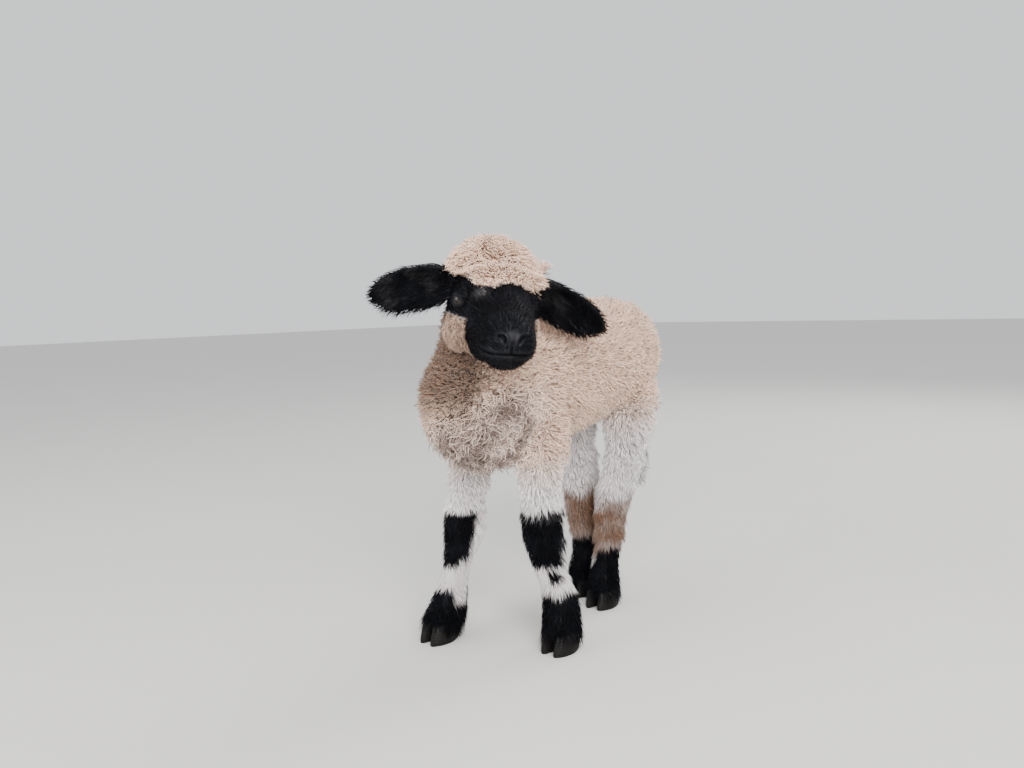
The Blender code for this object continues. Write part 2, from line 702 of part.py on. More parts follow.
def make_claws(name, pastern, collection):
    """Two claws side by side under the pastern, with flat soles on the floor."""
    for place, side in (("inner", -1), ("outer", 1)):
        way = side if name.endswith("left") else -side
        x = pastern.x + way * 0.0107
        rows = (
            (x, pastern.y - 0.001, HOOF_HEIGHT - PARTING, 0.0092, 0.0190),
            (x, pastern.y - 0.003, 0.016, 0.0095, 0.0205),
            (x, pastern.y - 0.005, 0.006, 0.0097, 0.0215),
            (x, pastern.y - 0.006, 0.0, 0.0092, 0.0210),
        )

        def make(pieces):
            bm = bmesh.new()
            rings = []
            for cx, cy, cz, wide, long in rows:
                ring = []
                for k in range(12):
                    turn = 2 * math.pi * k / 12
                    toe = max(0.0, -math.sin(turn))
                    across = wide * (math.cos(turn) * (1.0 - 0.2 * toe) - way * 0.25 * toe**2)
                    ring.append(bm.verts.new((cx + across, cy + long * math.sin(turn), cz)))
                rings.append(ring)
            join_rings(bm, rings)
            bm.faces.new(rings[0])
            bm.faces.new(rings[-1])
            return mesh_object("claw", bm, pieces)

        fuse(f"claw_{name}_{place}", [make], [], [], LOOKS["horn"], collection)


def centre_on_floor(collection):
    """Moves every part so that the origin is under the middle of the whole lamb, on the floor."""
    corners = [vert.co for obj in collection.objects for vert in obj.data.vertices]
    middle = Vector((
        (min(c.x for c in corners) + max(c.x for c in corners)) / 2,
        (min(c.y for c in corners) + max(c.y for c in corners)) / 2,
        min(c.z for c in corners),
    ))
    for obj in collection.objects:
        obj.data.transform(Matrix.Translation(-middle))


def main():
    clear_scene()
    lamb = bpy.data.collections.new("valais_blacknose_lamb")
    bpy.context.scene.collection.children.link(lamb)
    wool = wool_sites()
    make_torso(wool, lamb)
    make_neck(wool, lamb)
    make_head(wool, lamb)
    make_eyes(lamb)
    make_ears(lamb)
    make_tail(wool, lamb)
    make_legs(wool, lamb)
    centre_on_floor(lamb)


main()
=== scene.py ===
import math

import bmesh
import bpy
import numpy as np
from mathutils import Matrix, Vector, kdtree, noise


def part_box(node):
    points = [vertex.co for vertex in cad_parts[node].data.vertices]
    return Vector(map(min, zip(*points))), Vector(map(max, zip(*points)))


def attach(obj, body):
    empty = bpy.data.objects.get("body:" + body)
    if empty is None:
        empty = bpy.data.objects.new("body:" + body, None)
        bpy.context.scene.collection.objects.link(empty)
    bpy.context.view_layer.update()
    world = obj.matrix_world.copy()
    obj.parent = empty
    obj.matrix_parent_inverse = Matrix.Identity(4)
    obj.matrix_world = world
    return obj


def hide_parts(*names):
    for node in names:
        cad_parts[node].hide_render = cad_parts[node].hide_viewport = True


# The looks of a Valais blacknose lamb: one skin over the body, a fleece of curly locks, short hair on the
# face, ears and legs, glossy eyes and horny hooves. Sizes are in metres and repeat those of the solids; they
# are given before the solids were centred on the floor, and OFFSET carries every piece to where they are now.

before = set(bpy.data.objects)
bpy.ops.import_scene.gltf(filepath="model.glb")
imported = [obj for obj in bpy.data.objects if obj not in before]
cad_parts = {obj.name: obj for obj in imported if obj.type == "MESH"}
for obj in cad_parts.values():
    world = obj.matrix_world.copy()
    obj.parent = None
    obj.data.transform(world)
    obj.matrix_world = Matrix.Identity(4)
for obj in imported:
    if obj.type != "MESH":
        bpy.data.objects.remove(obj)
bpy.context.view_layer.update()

SEED = 7
OWN_WAY = 0.35  # how far a lock's curl starts its own way: 0 all alike in a clump, 1 at random
MOST_TRIANGLES = 190000  # in one piece of the coat
GATHER = 0.35  # how far a lock's tip goes towards the middle of its clump
HANG = 0.006  # how far the leg's hair hangs below its roots
FLOOR_GAP = 0.0014  # how near the floor the hair of the feet may come

# The lamb's driving sizes
EYE_CENTRE = Vector((0.061, -0.080, 0.408))
HEAD_TURN = math.radians(52.5)
HEAD_DROP = math.radians(20)
HEAD_TILT = math.radians(-5)
EYE_RADIUS = 0.0105
EYE_PLACE = (0.003, 0.0352, 0.001)
EAR_ROOT = (-0.036, 0.039, 0.011)
EAR_LENGTH = 0.103
EAR_WIDTH = 0.047
EAR_SKIN = 0.0026  # thickness of the ear's leaf without its hair
EAR_POSES = {1: (math.radians(33), math.radians(-9.5), 0.75), -1: (math.radians(10), math.radians(27.5), 0.15)}
THROAT = (-0.018, -0.066)
CROWN = (-0.052, 0.0, 0.036)  # the cap's locks lie away from here
NECK_CUT_POINT = Vector((0.0, -0.0425, 0.3425))
NECK_CUT_UP = Vector((0.0, -0.63, 0.777))
TAIL_CUT = 0.2835
HOOF_HEIGHT = 0.024

# How far the skin lies inside the solids' cores
TRUNK_INSET = 0.011
TAIL_INSET = 0.006
THIGH_INSET = 0.006
SHIN_INSET = 0.0038
FACE_INSET = 0.0008
CAP_INSET = 0.009
SKIN_VOXEL = 0.0024

# Stations of each form: centre x, y, z, then half the width across the lamb and half the depth
TRUNK = (
    (0.000, -0.092, 0.272, 0.012, 0.016),
    (0.000, -0.082, 0.276, 0.040, 0.046),
    (0.000, -0.058, 0.286, 0.059, 0.067),
    (0.000, -0.015, 0.302, 0.069, 0.079),
    (0.000, 0.045, 0.313, 0.073, 0.078),
    (0.000, 0.105, 0.3205, 0.077, 0.0745),
    (0.000, 0.160, 0.3285, 0.075, 0.0725),
    (0.000, 0.210, 0.333, 0.072, 0.072),
    (0.000, 0.247, 0.328, 0.060, 0.067),
    (0.000, 0.268, 0.323, 0.038, 0.046),
    (0.000, 0.276, 0.320, 0.014, 0.016),
)
NECK = (
    (0.000, -0.018, 0.270, 0.030, 0.030),
    (0.001, -0.026, 0.300, 0.058, 0.056),
    (0.006, -0.032, 0.330, 0.056, 0.056),
    (0.013, -0.037, 0.360, 0.051, 0.051),
    (0.018, -0.041, 0.390, 0.046, 0.046),
    (0.022, -0.044, 0.414, 0.040, 0.040),
    (0.024, -0.045, 0.428, 0.016, 0.016),
)
TAIL = (
    (0.000, 0.272, 0.370, 0.010, 0.010),
    (0.000, 0.289, 0.360, 0.014, 0.011),
    (-0.001, 0.2955, 0.334, 0.0155, 0.012),
    (-0.001, 0.297, 0.295, 0.0155, 0.012),
    (0.000, 0.297, 0.250, 0.014, 0.011),
    (0.002, 0.2955, 0.205, 0.0135, 0.0105),
    (0.003, 0.2945, 0.172, 0.0125, 0.0100),
    (0.003, 0.2930, 0.148, 0.0095, 0.0085),
)
# Stations of the head along its own axis: forward of the eyes, middle above them, half width, half height
SKULL = (
    (-0.068, 0.002, 0.010, 0.012),
    (-0.058, 0.000, 0.030, 0.034),
    (-0.038, -0.006, 0.042, 0.045),
    (-0.014, -0.010, 0.0455, 0.046),
    (0.006, -0.012, 0.0440, 0.043),
    (0.026, -0.015, 0.0376, 0.0370),
    (0.044, -0.017, 0.0328, 0.0318),
    (0.060, -0.0178, 0.0302, 0.0292),
    (0.072, -0.0193, 0.0282, 0.0266),
    (0.081, -0.0208, 0.0238, 0.0224),
    (0.0865, -0.0216, 0.0170, 0.0160),
    (0.0890, -0.0220, 0.0080, 0.0065),
)
CAP = (
    (-0.072, 0.010, 0.012, 0.012),
    (-0.062, 0.011, 0.030, 0.028),
    (-0.042, 0.013, 0.043, 0.039),
    (-0.020, 0.014, 0.045, 0.039),
    (-0.003, 0.012, 0.037, 0.029),
    (0.007, 0.010, 0.011, 0.011),
)
# Rounded swells of the face: place, radii
SWELLS = (
    ((0.004, 0.0347, 0.002), (0.0165, 0.0105, 0.0118)),
    ((0.066, 0.0158, -0.025), (0.0175, 0.0128, 0.0112)),
    ((0.036, 0.0155, -0.0335), (0.0275, 0.0148, 0.0148)),
    ((-0.012, 0.0300, -0.032), (0.0240, 0.0125, 0.0190)),
)
CHIN = ((0.066, 0.0, -0.0375), (0.0168, 0.0166, 0.0084))
FORELEG_LEFT = (
    (0.038, 0.002, 0.290, 0.020, 0.026),
    (0.044, 0.004, 0.262, 0.026, 0.031),
    (0.046, 0.005, 0.226, 0.0215, 0.026),
    (0.046, 0.007, 0.185, 0.0190, 0.0225),
    (0.0455, 0.0085, 0.155, 0.0225, 0.0265),
    (0.0470, 0.0095, 0.130, 0.0225, 0.0245),
    (0.0505, 0.0110, 0.105, 0.0182, 0.0190),
    (0.0570, 0.0160, 0.080, 0.0172, 0.0185),
    (0.0605, 0.0205, 0.056, 0.0205, 0.0225),
    (0.0640, 0.0185, 0.036, 0.0218, 0.0240),
    (0.0665, 0.0145, 0.018, 0.0218, 0.0248),
)
FORELEG_RIGHT = (
    (-0.038, 0.000, 0.290, 0.020, 0.026),
    (-0.044, -0.002, 0.262, 0.026, 0.031),
    (-0.048, -0.005, 0.226, 0.0215, 0.026),
    (-0.051, -0.012, 0.185, 0.0195, 0.0230),
    (-0.0530, -0.0180, 0.155, 0.0215, 0.0260),
    (-0.0545, -0.0230, 0.128, 0.0195, 0.0245),
    (-0.0575, -0.0262, 0.105, 0.0165, 0.0200),
    (-0.0610, -0.0295, 0.080, 0.0155, 0.0170),
    (-0.0650, -0.0335, 0.056, 0.0185, 0.0205),
    (-0.0675, -0.0385, 0.036, 0.0213, 0.0250),
    (-0.0705, -0.0480, 0.018, 0.0218, 0.0248),
)
HINDLEG_LEFT = (
    (0.034, 0.205, 0.310, 0.020, 0.030),
    (0.042, 0.208, 0.280, 0.028, 0.034),
    (0.044, 0.205, 0.245, 0.0250, 0.0310),
    (0.042, 0.201, 0.210, 0.0210, 0.0270),
    (0.034, 0.202, 0.175, 0.0210, 0.0275),
    (0.0250, 0.199, 0.148, 0.0200, 0.0275),
    (0.0225, 0.191, 0.122, 0.0178, 0.0230),
    (0.0260, 0.181, 0.090, 0.0165, 0.0205),
    (0.0265, 0.170, 0.058, 0.0172, 0.0190),
    (0.0270, 0.166, 0.038, 0.0195, 0.0212),
    (0.0280, 0.162, 0.018, 0.0206, 0.0235),
)
HINDLEG_RIGHT = (
    (-0.034, 0.205, 0.310, 0.020, 0.030),
    (-0.041, 0.204, 0.280, 0.028, 0.034),
    (-0.041, 0.198, 0.245, 0.0240, 0.0310),
    (-0.038, 0.196, 0.210, 0.0205, 0.0270),
    (-0.0360, 0.2045, 0.175, 0.0210, 0.0275),
    (-0.0370, 0.207, 0.148, 0.0200, 0.0275),
    (-0.0325, 0.200, 0.122, 0.0178, 0.0230),
    (-0.0245, 0.195, 0.090, 0.0165, 0.0205),
    (-0.0215, 0.191, 0.058, 0.0172, 0.0190),
    (-0.0220, 0.1885, 0.038, 0.0195, 0.0212),
    (-0.0225, 0.185, 0.018, 0.0206, 0.0235),
)
# Each leg's stations, and the height where its wool gives way to hair
LEGS = {
    "foreleg_left": (FORELEG_LEFT, 0.160),
    "foreleg_right": (FORELEG_RIGHT, 0.160),
    "hindleg_left": (HINDLEG_LEFT, 0.165),
    "hindleg_right": (HINDLEG_RIGHT, 0.165),
}
ACROSS = Vector((1, 0, 0))


def head_matrix():
    """Columns are the head's forward, left and up ways; the place is midway between the eyes."""
    forward = Vector((
        math.cos(HEAD_DROP) * math.sin(HEAD_TURN),
        -math.cos(HEAD_DROP) * math.cos(HEAD_TURN),
        -math.sin(HEAD_DROP),
    ))
    left = Vector((math.cos(HEAD_TURN), math.sin(HEAD_TURN), 0.0))
    left = Matrix.Rotation(HEAD_TILT, 3, forward) @ left
    axes = Matrix((forward, left, forward.cross(left))).transposed().to_4x4()
    return Matrix.Translation(EYE_CENTRE) @ axes


HEAD = head_matrix()
HEAD_BACK = HEAD.inverted()


def ear_matrix(side):
    """The ear's frame: along it, the way its cup opens, and across, from the root at the head's side."""
    droop, sweep, turned = EAR_POSES[side]
    ahead = Vector((math.sin(HEAD_TURN), -math.cos(HEAD_TURN), 0.0))
    left = Vector((math.cos(HEAD_TURN), math.sin(HEAD_TURN), 0.0))
    level = left * side * math.cos(sweep) - ahead * math.sin(sweep)
    along = level * math.cos(droop) - Vector((0, 0, math.sin(droop)))
    opens = ahead - Vector((0, 0, turned))
    opens = (opens - along * opens.dot(along)).normalized()
    turn = Matrix((along, opens, along.cross(opens))).transposed()
    root = HEAD @ Vector((EAR_ROOT[0], side * EAR_ROOT[1], EAR_ROOT[2]))
    return Matrix.Translation(root) @ turn.to_4x4()


EARS = {1: ear_matrix(1), -1: ear_matrix(-1)}


def find_offset():
    """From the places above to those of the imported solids, measured on the left eye."""
    low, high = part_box("eye_left")
    return (low + high) / 2 - HEAD @ Vector(EYE_PLACE)


OFFSET = find_offset()


def local(matrix, points):
    """Rows of points in the axes of a matrix."""
    back = np.array(matrix.inverted())
    return points @ back[:3, :3].T + back[:3, 3]


def ramp(x, low, high):
    """0 below low, 1 above high, smooth between."""
    t = np.clip((x - low) / (high - low), 0.0, 1.0)
    return t * t * (3 - 2 * t)


def unit(vectors):
    return vectors / np.maximum(np.linalg.norm(vectors, axis=1, keepdims=True), 1e-9)


def drift(points, scale, seed):
    """A smooth random value from about -1 to 1 at each point."""
    shift = Vector((seed * 1.7, seed * 0.3, -seed * 2.1))
    return np.array([noise.noise(Vector(p) * scale + shift) for p in points.tolist()])


def smooth_rows(stations, steps):
    """Rows of values on a Catmull-Rom curve through the stations, with so many steps in each span."""
    rows = []
    last = len(stations) - 1
    for i in range(last):
        a, b, c, d = (np.array(stations[min(max(k, 0), last)]) for k in (i - 1, i, i + 1, i + 2))
        for step in range(steps):
            t = step / steps
            bend = 2 * b + (c - a) * t + (2 * a - 5 * b + 4 * c - d) * t * t
            rows.append(0.5 * (bend + (3 * b - a - 3 * c + d) * t**3))
    rows.append(np.array(stations[-1]))
    return rows


def add_loft(bm, rows, across, sides, inset):
    """A closed form through elliptical sections, held in by the inset, with a pole at each end."""
    points = [Vector(row[:3]) for row in rows]
    rings = []
    for i, row in enumerate(rows):
        along = (points[min(i + 1, len(points) - 1)] - points[max(i - 1, 0)]).normalized()
        side = (across - along * across.dot(along)).normalized()
        third = along.cross(side)
        inside = inset(row) if callable(inset) else inset
        wide = max(row[3] - inside, 0.002)
        deep = max(row[4] - inside, 0.002)
        turns = [2 * math.pi * k / sides for k in range(sides)]
        rings.append([
            bm.verts.new(points[i] + side * wide * math.cos(t) + third * deep * math.sin(t)) for t in turns
        ])
    for low, high in zip(rings, rings[1:]):
        for k in range(sides):
            n = (k + 1) % sides
            bm.faces.new((low[k], low[n], high[n], high[k]))
    bm.faces.new(list(reversed(rings[0])))
    bm.faces.new(rings[-1])


def add_ball(bm, centre, radii, turn):
    made = bmesh.ops.create_icosphere(bm, subdivisions=3, radius=1.0)
    place = Matrix.Translation(centre) @ turn.to_4x4() @ Matrix.Diagonal((*radii, 1.0))
    bmesh.ops.transform(bm, matrix=place, verts=made["verts"])


def make_object(name, mesh):
    obj = bpy.data.objects.new(name, mesh)
    bpy.context.scene.collection.objects.link(obj)
    return obj


def applied(obj):
    """The object's mesh with its modifiers applied."""
    bpy.context.view_layer.update()
    graph = bpy.context.evaluated_depsgraph_get()
    mesh = bpy.data.meshes.new_from_object(obj.evaluated_get(graph))
    obj.modifiers.clear()
    obj.data = mesh
    return obj


def get_points(mesh):
    flat = np.empty(len(mesh.vertices) * 3)
    mesh.vertices.foreach_get("co", flat)
    return flat.reshape(-1, 3)


def set_points(mesh, points):
    mesh.vertices.foreach_set("co", np.ascontiguousarray(points, dtype=float).ravel())
    mesh.update()


def get_normals(mesh):
    flat = np.empty(len(mesh.vertices) * 3)
    mesh.vertex_normals.foreach_get("vector", flat)
    return flat.reshape(-1, 3)


def set_attribute(mesh, name, values):
    layer = mesh.attributes.new(name, "FLOAT", "POINT")
    layer.data.foreach_set("value", np.ascontiguousarray(values, dtype=np.float32))


# Where the cap's wool ends: turn about the head's length in degrees, then forward of the eyes
CAP_HEM = (
    (-60, -0.050), (-47, -0.030), (-42, -0.012), (-37, 0.0135), (-28, 0.0191), (-16, 0.0231), (5, 0.0193),
    (24, 0.0163), (37, 0.0142), (50, 0.0095), (60, -0.012), (72, -0.036), (82, -0.052),
)
# Where the dark of the temple ends below: forward, then above the eyes
TEMPLE_EDGE = ((-0.045, -0.030), (-0.020, -0.022), (0.000, -0.0163), (0.016, -0.0134), (0.032, -0.0120))
# Where the dark of the muzzle ends behind: above the eyes, then forward
CHEEK_EDGE = ((-0.060, 0.018), (-0.045, 0.018), (-0.033, 0.0233), (-0.021, 0.0313), (-0.012, 0.0317))


def dark_depth(points):
    """How far inside the dark of the face each point is, negative on the wool of the cap and cheeks."""
    forward, left, above = local(HEAD, points).T
    turn = np.degrees(np.arctan2(left, above + 0.014))
    under_cap = forward - np.interp(turn, *zip(*CAP_HEM))
    on_muzzle = forward - np.interp(above, *zip(*CHEEK_EDGE))
    on_temple = above - np.interp(forward, *zip(*TEMPLE_EDGE))
    return np.minimum(under_cap, np.maximum(on_muzzle, on_temple))


def face_black(points):
    """1 on the dark face and temples, 0 on the wool, with a ragged edge and a grey tuft over the right eye."""
    wobble = 0.0032 * drift(points, 90.0, 3) + 0.0016 * drift(points, 260.0, 4)
    off = local(HEAD, points) - np.array((0.0245, -0.0215, 0.0165))
    tuft = np.exp(-((off / np.array((0.0050, 0.0065, 0.0060))) ** 2).sum(axis=1))
    tuft *= np.clip(0.8 + 1.6 * drift(points, 420.0, 11), 0.0, 1.6)
    return ramp(dark_depth(points) + wobble, -0.0015, 0.0015) * (1 - 0.09 * tuft)


def about_leg(points):
    """Places about each leg's middle line, inward and backward, and which are on a foreleg or a left leg."""
    x, y, z = points.T
    fore, left = y < 0.10, x > 0
    inward, behind = np.zeros(len(points)), np.zeros(len(points))
    for stations, _ in LEGS.values():
        line = np.array(stations)[::-1]
        side = 1 if stations[0][0] > 0 else -1
        mine = (left == (side > 0)) & (fore == (stations[0][1] < 0.10))
        inward[mine] = side * (np.interp(z, line[:, 2], line[:, 0]) - x)[mine]
        behind[mine] = (y - np.interp(z, line[:, 2], line[:, 1]))[mine]
    return inward, behind, fore, left


def leg_black(points):
    """1 on the dark knees and feet, with ragged edges."""
    inward, behind, fore, left = about_leg(points)
    wobble = 0.006 * drift(points, 60.0, 5) + 0.003 * drift(points, 190.0, 6)
    height = points[:, 2] - HANG + wobble
    knee_low = np.where(left, 0.0965, 0.0866 + 0.55 * inward)
    knee_top = np.where(left, 0.166, 0.157)
    knee = ramp(height, knee_low - 0.002, knee_low + 0.002) * (1 - ramp(height, knee_top - 0.002, knee_top + 0.002))
    rear = np.where(left, 0.004 + 0.009 * ramp(height, 0.112, 0.130), -0.002)
    knee *= 1 - ramp(behind + 0.5 * wobble, rear, rear + 0.005)
    tongue = ramp(inward, 0.009, 0.015)
    foot_top = np.where(left, 0.0640, 0.0605 - 0.016 * tongue)
    foot = 1 - ramp(height, foot_top - 0.003, foot_top + 0.003)
    off_spot = ((inward + 0.0105) / 0.0085) ** 2 + ((behind + 0.0080) / 0.0100) ** 2
    off_spot += ((height - 0.0850) / 0.0080) ** 2
    spot = ramp(left * np.exp(-off_spot), 0.35, 0.60)
    streak = left * np.exp(-(((inward - 0.008) / 0.004) ** 2)) * (1 - ramp(behind, -0.008, 0.0))
    hind_top = np.where(left, 0.073, 0.079) - 0.022 * streak
    hind = 1 - ramp(height, hind_top - 0.004, hind_top + 0.004)
    return np.where(fore, np.maximum(np.maximum(knee, foot), spot), hind) * (points[:, 2] < 0.19)


def chest_share(points):
    """1 on the loose curls of the chest, 0 on the tight wool of the flanks and the soft wool of the neck."""
    x, y, z = points.T
    front = 1 - ramp(y + 0.3 * np.maximum(-x, 0), -0.055, 0.015)
    top = 0.2840 + 0.6 * np.clip(x, -0.020, 0.045)
    return front * (1 - ramp(z - top, -0.018, 0.018))


def dull_and_shade_share(points, zones):
    """How grey and matted the coat is, with painted shade between and below its shiny curls: on the middle of the chest
    and on the tail.
    """
    return np.maximum(ramp(chest_share(points), 0.40, 0.95) * (zones != "leg"), 0.4 * (zones == "tail"))


def neck_stain_and_shade(points):
    """How browned the wool of the throat and the right of the neck is: partly a stain, partly painted shade under the
    head.
    """
    x, y, z = points.T
    edge = x + 0.35 * y - 0.15 * (z - 0.30)
    return 0.91 * ramp(z, 0.272, 0.312) * (1 - ramp(edge, -0.008, 0.012)) * (1 - ramp(y, -0.040, 0.035))


def marking_values(points, zones):
    """How dark, how stained and how pale the coat is at each point; the stain also carries painted shade on the throat,
    the neck and the cheeks.
    """
    y, z = points[:, 1], points[:, 2]
    black = np.zeros(len(points))
    on_head, on_leg = zones == "head", zones == "leg"
    black[on_head] = face_black(points[on_head])
    # Lighter patches on the ears: painted highlight
    painted_light = ramp(drift(points, 42.0, 10), 0.0, 0.35) * np.clip(0.6 + 1.6 * drift(points, 260.0, 13), 0.0, 1.4)
    black[zones == "ear"] = 1.0 - 0.020 * painted_light[zones == "ear"]
    # Dark grey patches on the tail: partly grey stain, partly painted shade
    black[zones == "tail"] = 0.45 * ramp(drift(points, 130.0, 9), -0.35, 0.15)[zones == "tail"]
    black[on_leg] = leg_black(points[on_leg])
    white_top = np.where(y > 0.12, 0.042, 0.0)
    pale = np.clip(0.06 + 0.94 * (1 - ramp(z - white_top, 0.185, 0.250)) + 0.35 * chest_share(points), 0, 1)
    dirt = drift(points, 40.0, 8)
    tan_top = np.where(points[:, 0] > 0, 0.137, 0.146)
    hock = ramp(z, 0.060, 0.072) * (1 - ramp(z + 0.022 * dirt, tan_top - 0.004, tan_top + 0.020))
    hock *= 0.94 + 0.40 * dirt
    above_eyes = local(HEAD, points)[:, 2]
    # The wool low on the head is browner below the eyes: partly stain, partly painted shade, as on the neck
    cheek = 0.72 * on_head * (1 - ramp(above_eyes, -0.016, 0.004))
    body = np.maximum(neck_stain_and_shade(points) * ~on_head, 0.10 * ramp(dirt, 0.0, 0.5) * (z < 0.30))
    stain_and_shade = np.where((y > 0.12) & on_leg, hock, np.maximum(body, cheek))
    grey = (zones == "tail") | (zones == "ear") | (on_head & (black > 0.6))
    return black, np.where(grey, 0.0, np.clip(stain_and_shade, 0, 1)), np.where(grey, 1.0, pale)


def zones_of(points):
    """Which part of the lamb each point of the skin is on."""
    x, y, z = points.T
    zones = np.full(len(points), "torso", dtype="<U6")
    at = local(HEAD, points)
    ahead, above = at[:, 0] - THROAT[0], at[:, 2] - THROAT[1]
    in_head = (0.75 * ahead + 0.66 * above > 0) & (0.995 * above - 0.104 * ahead > 0) & (z > 0.33)
    neck_up = (points - np.array(NECK_CUT_POINT)) @ np.array(NECK_CUT_UP)
    zones[(neck_up > 0.0) & (y < 0.03) & (z > 0.29)] = "neck"
    zones[in_head] = "head"
    for side, place in EARS.items():
        ear = local(place, points)
        inside = (ear[:, 0] > 0.009) & (np.abs(ear[:, 2]) < 0.036) & (ear[:, 1] > -0.030) & (ear[:, 1] < 0.05)
        zones[inside & (ear[:, 0] < 0.14)] = "ear"
    zones[(y > TAIL_CUT - 0.004) & (np.abs(x) < 0.03)] = "tail"
    fore_low = (z < 0.190) & (y < 0.10)
    hind_low = (z < 0.190) & (y > 0.12) & (y < TAIL_CUT - 0.006)
    zones[fore_low | hind_low] = "leg"
    fore_high = (z >= 0.190) & (z < 0.222) & (y < 0.10) & (np.abs(x) > 0.012)
    hind_high = (z >= 0.190) & (z < 0.262) & (y > 0.155) & (y < TAIL_CUT - 0.006)
    zones[fore_high | hind_high] = "thigh"
    return zones


def ear_leaf(side, thickness):
    """A leaf curled into a cup, tubular at the root and open towards the tip."""
    place = EARS[side]
    lengths, widths = 30, 18
    bm = bmesh.new()
    grid = []
    for i in range(lengths + 1):
        s = i / lengths
        half = (EAR_WIDTH / 2 - 0.002) * (0.62 + 0.38 * math.sin(math.pi * min(1.0, 0.9 * s + 0.05)))
        half *= 1.0 if s < 0.68 else math.sqrt(max(0.06, 1 - ((s - 0.68) / 0.33) ** 2))
        curl = 1.25 * (1 - s) ** 1.5 + 0.55
        bow = 0.005 * math.sin(math.pi * s)
        radius = half / min(1.0, math.sin(min(curl, math.pi / 2)))
        row = []
        for j in range(widths + 1):
            t = 2 * j / widths - 1
            depth = radius * (1 - math.cos(curl * t))
            spot = Vector((s * (EAR_LENGTH - 0.003), depth - bow - 0.004, radius * math.sin(curl * t)))
            row.append(bm.verts.new(place @ spot))
        grid.append(row)
    for low, high in zip(grid, grid[1:]):
        for j in range(widths):
            bm.faces.new((low[j], low[j + 1], high[j + 1], high[j]))
    mesh = bpy.data.meshes.new("leaf")
    bm.to_mesh(mesh)
    bm.free()
    leaf = make_object("leaf", mesh)
    thicken = leaf.modifiers.new("thicken", "SOLIDIFY")
    thicken.thickness = thickness
    thicken.offset = 0.0
    return applied(leaf)


def head_rows(stations, steps):
    rows = []
    for row in smooth_rows(stations, steps):
        place = HEAD @ Vector((row[0], 0.0, row[1]))
        rows.append((*place, row[2], row[3]))
    return rows


def leg_inset(shin):
    return lambda row: SHIN_INSET + (THIGH_INSET - SHIN_INSET) * float(ramp(np.array(row[2]), shin - 0.02, shin + 0.02))


def rough_skin():
    """All forms of the body joined into one closed surface of even quads, with the joins melted."""
    bm = bmesh.new()
    add_loft(bm, smooth_rows(TRUNK, 5), ACROSS, 40, TRUNK_INSET)
    add_loft(bm, smooth_rows(NECK, 5), ACROSS, 32, TRUNK_INSET)
    add_loft(bm, smooth_rows(TAIL, 5), ACROSS, 20, TAIL_INSET)
    for stations, shin in LEGS.values():
        add_loft(bm, smooth_rows(stations, 5), ACROSS, 24, leg_inset(shin))
    left = HEAD.to_3x3() @ Vector((0, 1, 0))
    add_loft(bm, head_rows(SKULL, 5), left, 40, FACE_INSET)
    add_loft(bm, head_rows(CAP, 5), left, 32, CAP_INSET)
    for (f, b, c), radii in SWELLS:
        for side in (1, -1):
            add_ball(bm, HEAD @ Vector((f, side * b, c)), radii, HEAD.to_3x3())
    add_ball(bm, HEAD @ Vector(CHIN[0]), CHIN[1], HEAD.to_3x3())
    bmesh.ops.recalc_face_normals(bm, faces=bm.faces)
    mesh = bpy.data.meshes.new("skin")
    bm.to_mesh(mesh)
    bm.free()
    skin = make_object("skin", mesh)
    even = skin.modifiers.new("even", "REMESH")
    even.mode = "VOXEL"
    even.voxel_size = SKIN_VOXEL
    melt = skin.modifiers.new("melt", "SMOOTH")
    melt.factor = 0.5
    melt.iterations = 7
    return applied(skin)


def refine(obj, chosen):
    """Splits in four every face whose middle the function picks."""
    bm = bmesh.new()
    bm.from_mesh(obj.data)
    middles = np.array([face.calc_center_median() for face in bm.faces])
    picked = chosen(middles)
    bm.faces.ensure_lookup_table()
    edges = {edge for i in np.flatnonzero(picked) for edge in bm.faces[i].edges}
    bmesh.ops.subdivide_edges(bm, edges=list(edges), cuts=1, use_grid_fill=True, smooth=0.35)
    bm.to_mesh(obj.data)
    bm.free()


def near_face(points):
    at = local(HEAD, points)
    return (at[:, 0] > -0.030) & (at[:, 0] < 0.11) & (np.abs(at[:, 1]) < 0.07) & (np.abs(at[:, 2]) < 0.075)


def near_details(points):
    at = local(HEAD, points)
    muzzle = near_face(points) & (at[:, 0] > 0.050)
    eye = np.array((EYE_PLACE[0], 0.0, EYE_PLACE[2]))
    off = at - eye
    off[:, 1] = np.abs(off[:, 1]) - EYE_PLACE[1]
    return muzzle | (np.linalg.norm(off, axis=1) < 0.020)


def move_along(points, normals, amount):
    return points + normals * amount[:, None]


def bump(at, centre, radii):
    """A soft bump of height 1 at a place in the head's axes, alike on both sides."""
    off = np.stack((at[:, 0] - centre[0], np.abs(at[:, 1]) - centre[1], at[:, 2] - centre[2]), axis=1)
    return np.exp(-((off / np.array(radii)) ** 2).sum(axis=1))


def shape_face(mesh):
    """Brow, tear hollow, cheek, nose bridge, nostrils, philtrum, the line of the mouth and the lips."""
    points = get_points(mesh)
    normals = get_normals(mesh)
    at = local(HEAD, points)
    f, b, c = at.T
    side = np.abs(b)
    lift = np.zeros(len(points))
    lift += 0.0022 * bump(at, (0.002, 0.034, 0.017), (0.013, 0.008, 0.006))
    lift -= 0.0016 * bump(at, (0.024, 0.030, -0.004), (0.009, 0.009, 0.006))
    lift += 0.0012 * bump(at, (0.018, 0.036, -0.014), (0.016, 0.009, 0.006))
    lift -= 0.0014 * bump(at, (0.046, 0.030, -0.022), (0.012, 0.010, 0.008))
    lift += 0.0012 * bump(at, (0.050, 0.000, 0.010), (0.022, 0.012, 0.012))
    lift += nostril_lift(f, side, c)
    lift -= 0.0018 * np.exp(-((b / 0.0011) ** 2)) * ramp(f, 0.078, 0.084) * ramp(c, -0.0245, -0.0225) * (1 - ramp(c, -0.011, -0.008))
    lift += mouth_lift(f, b, c)
    head = near_face(points)
    set_points(mesh, np.where(head[:, None], move_along(points, normals, lift), points))


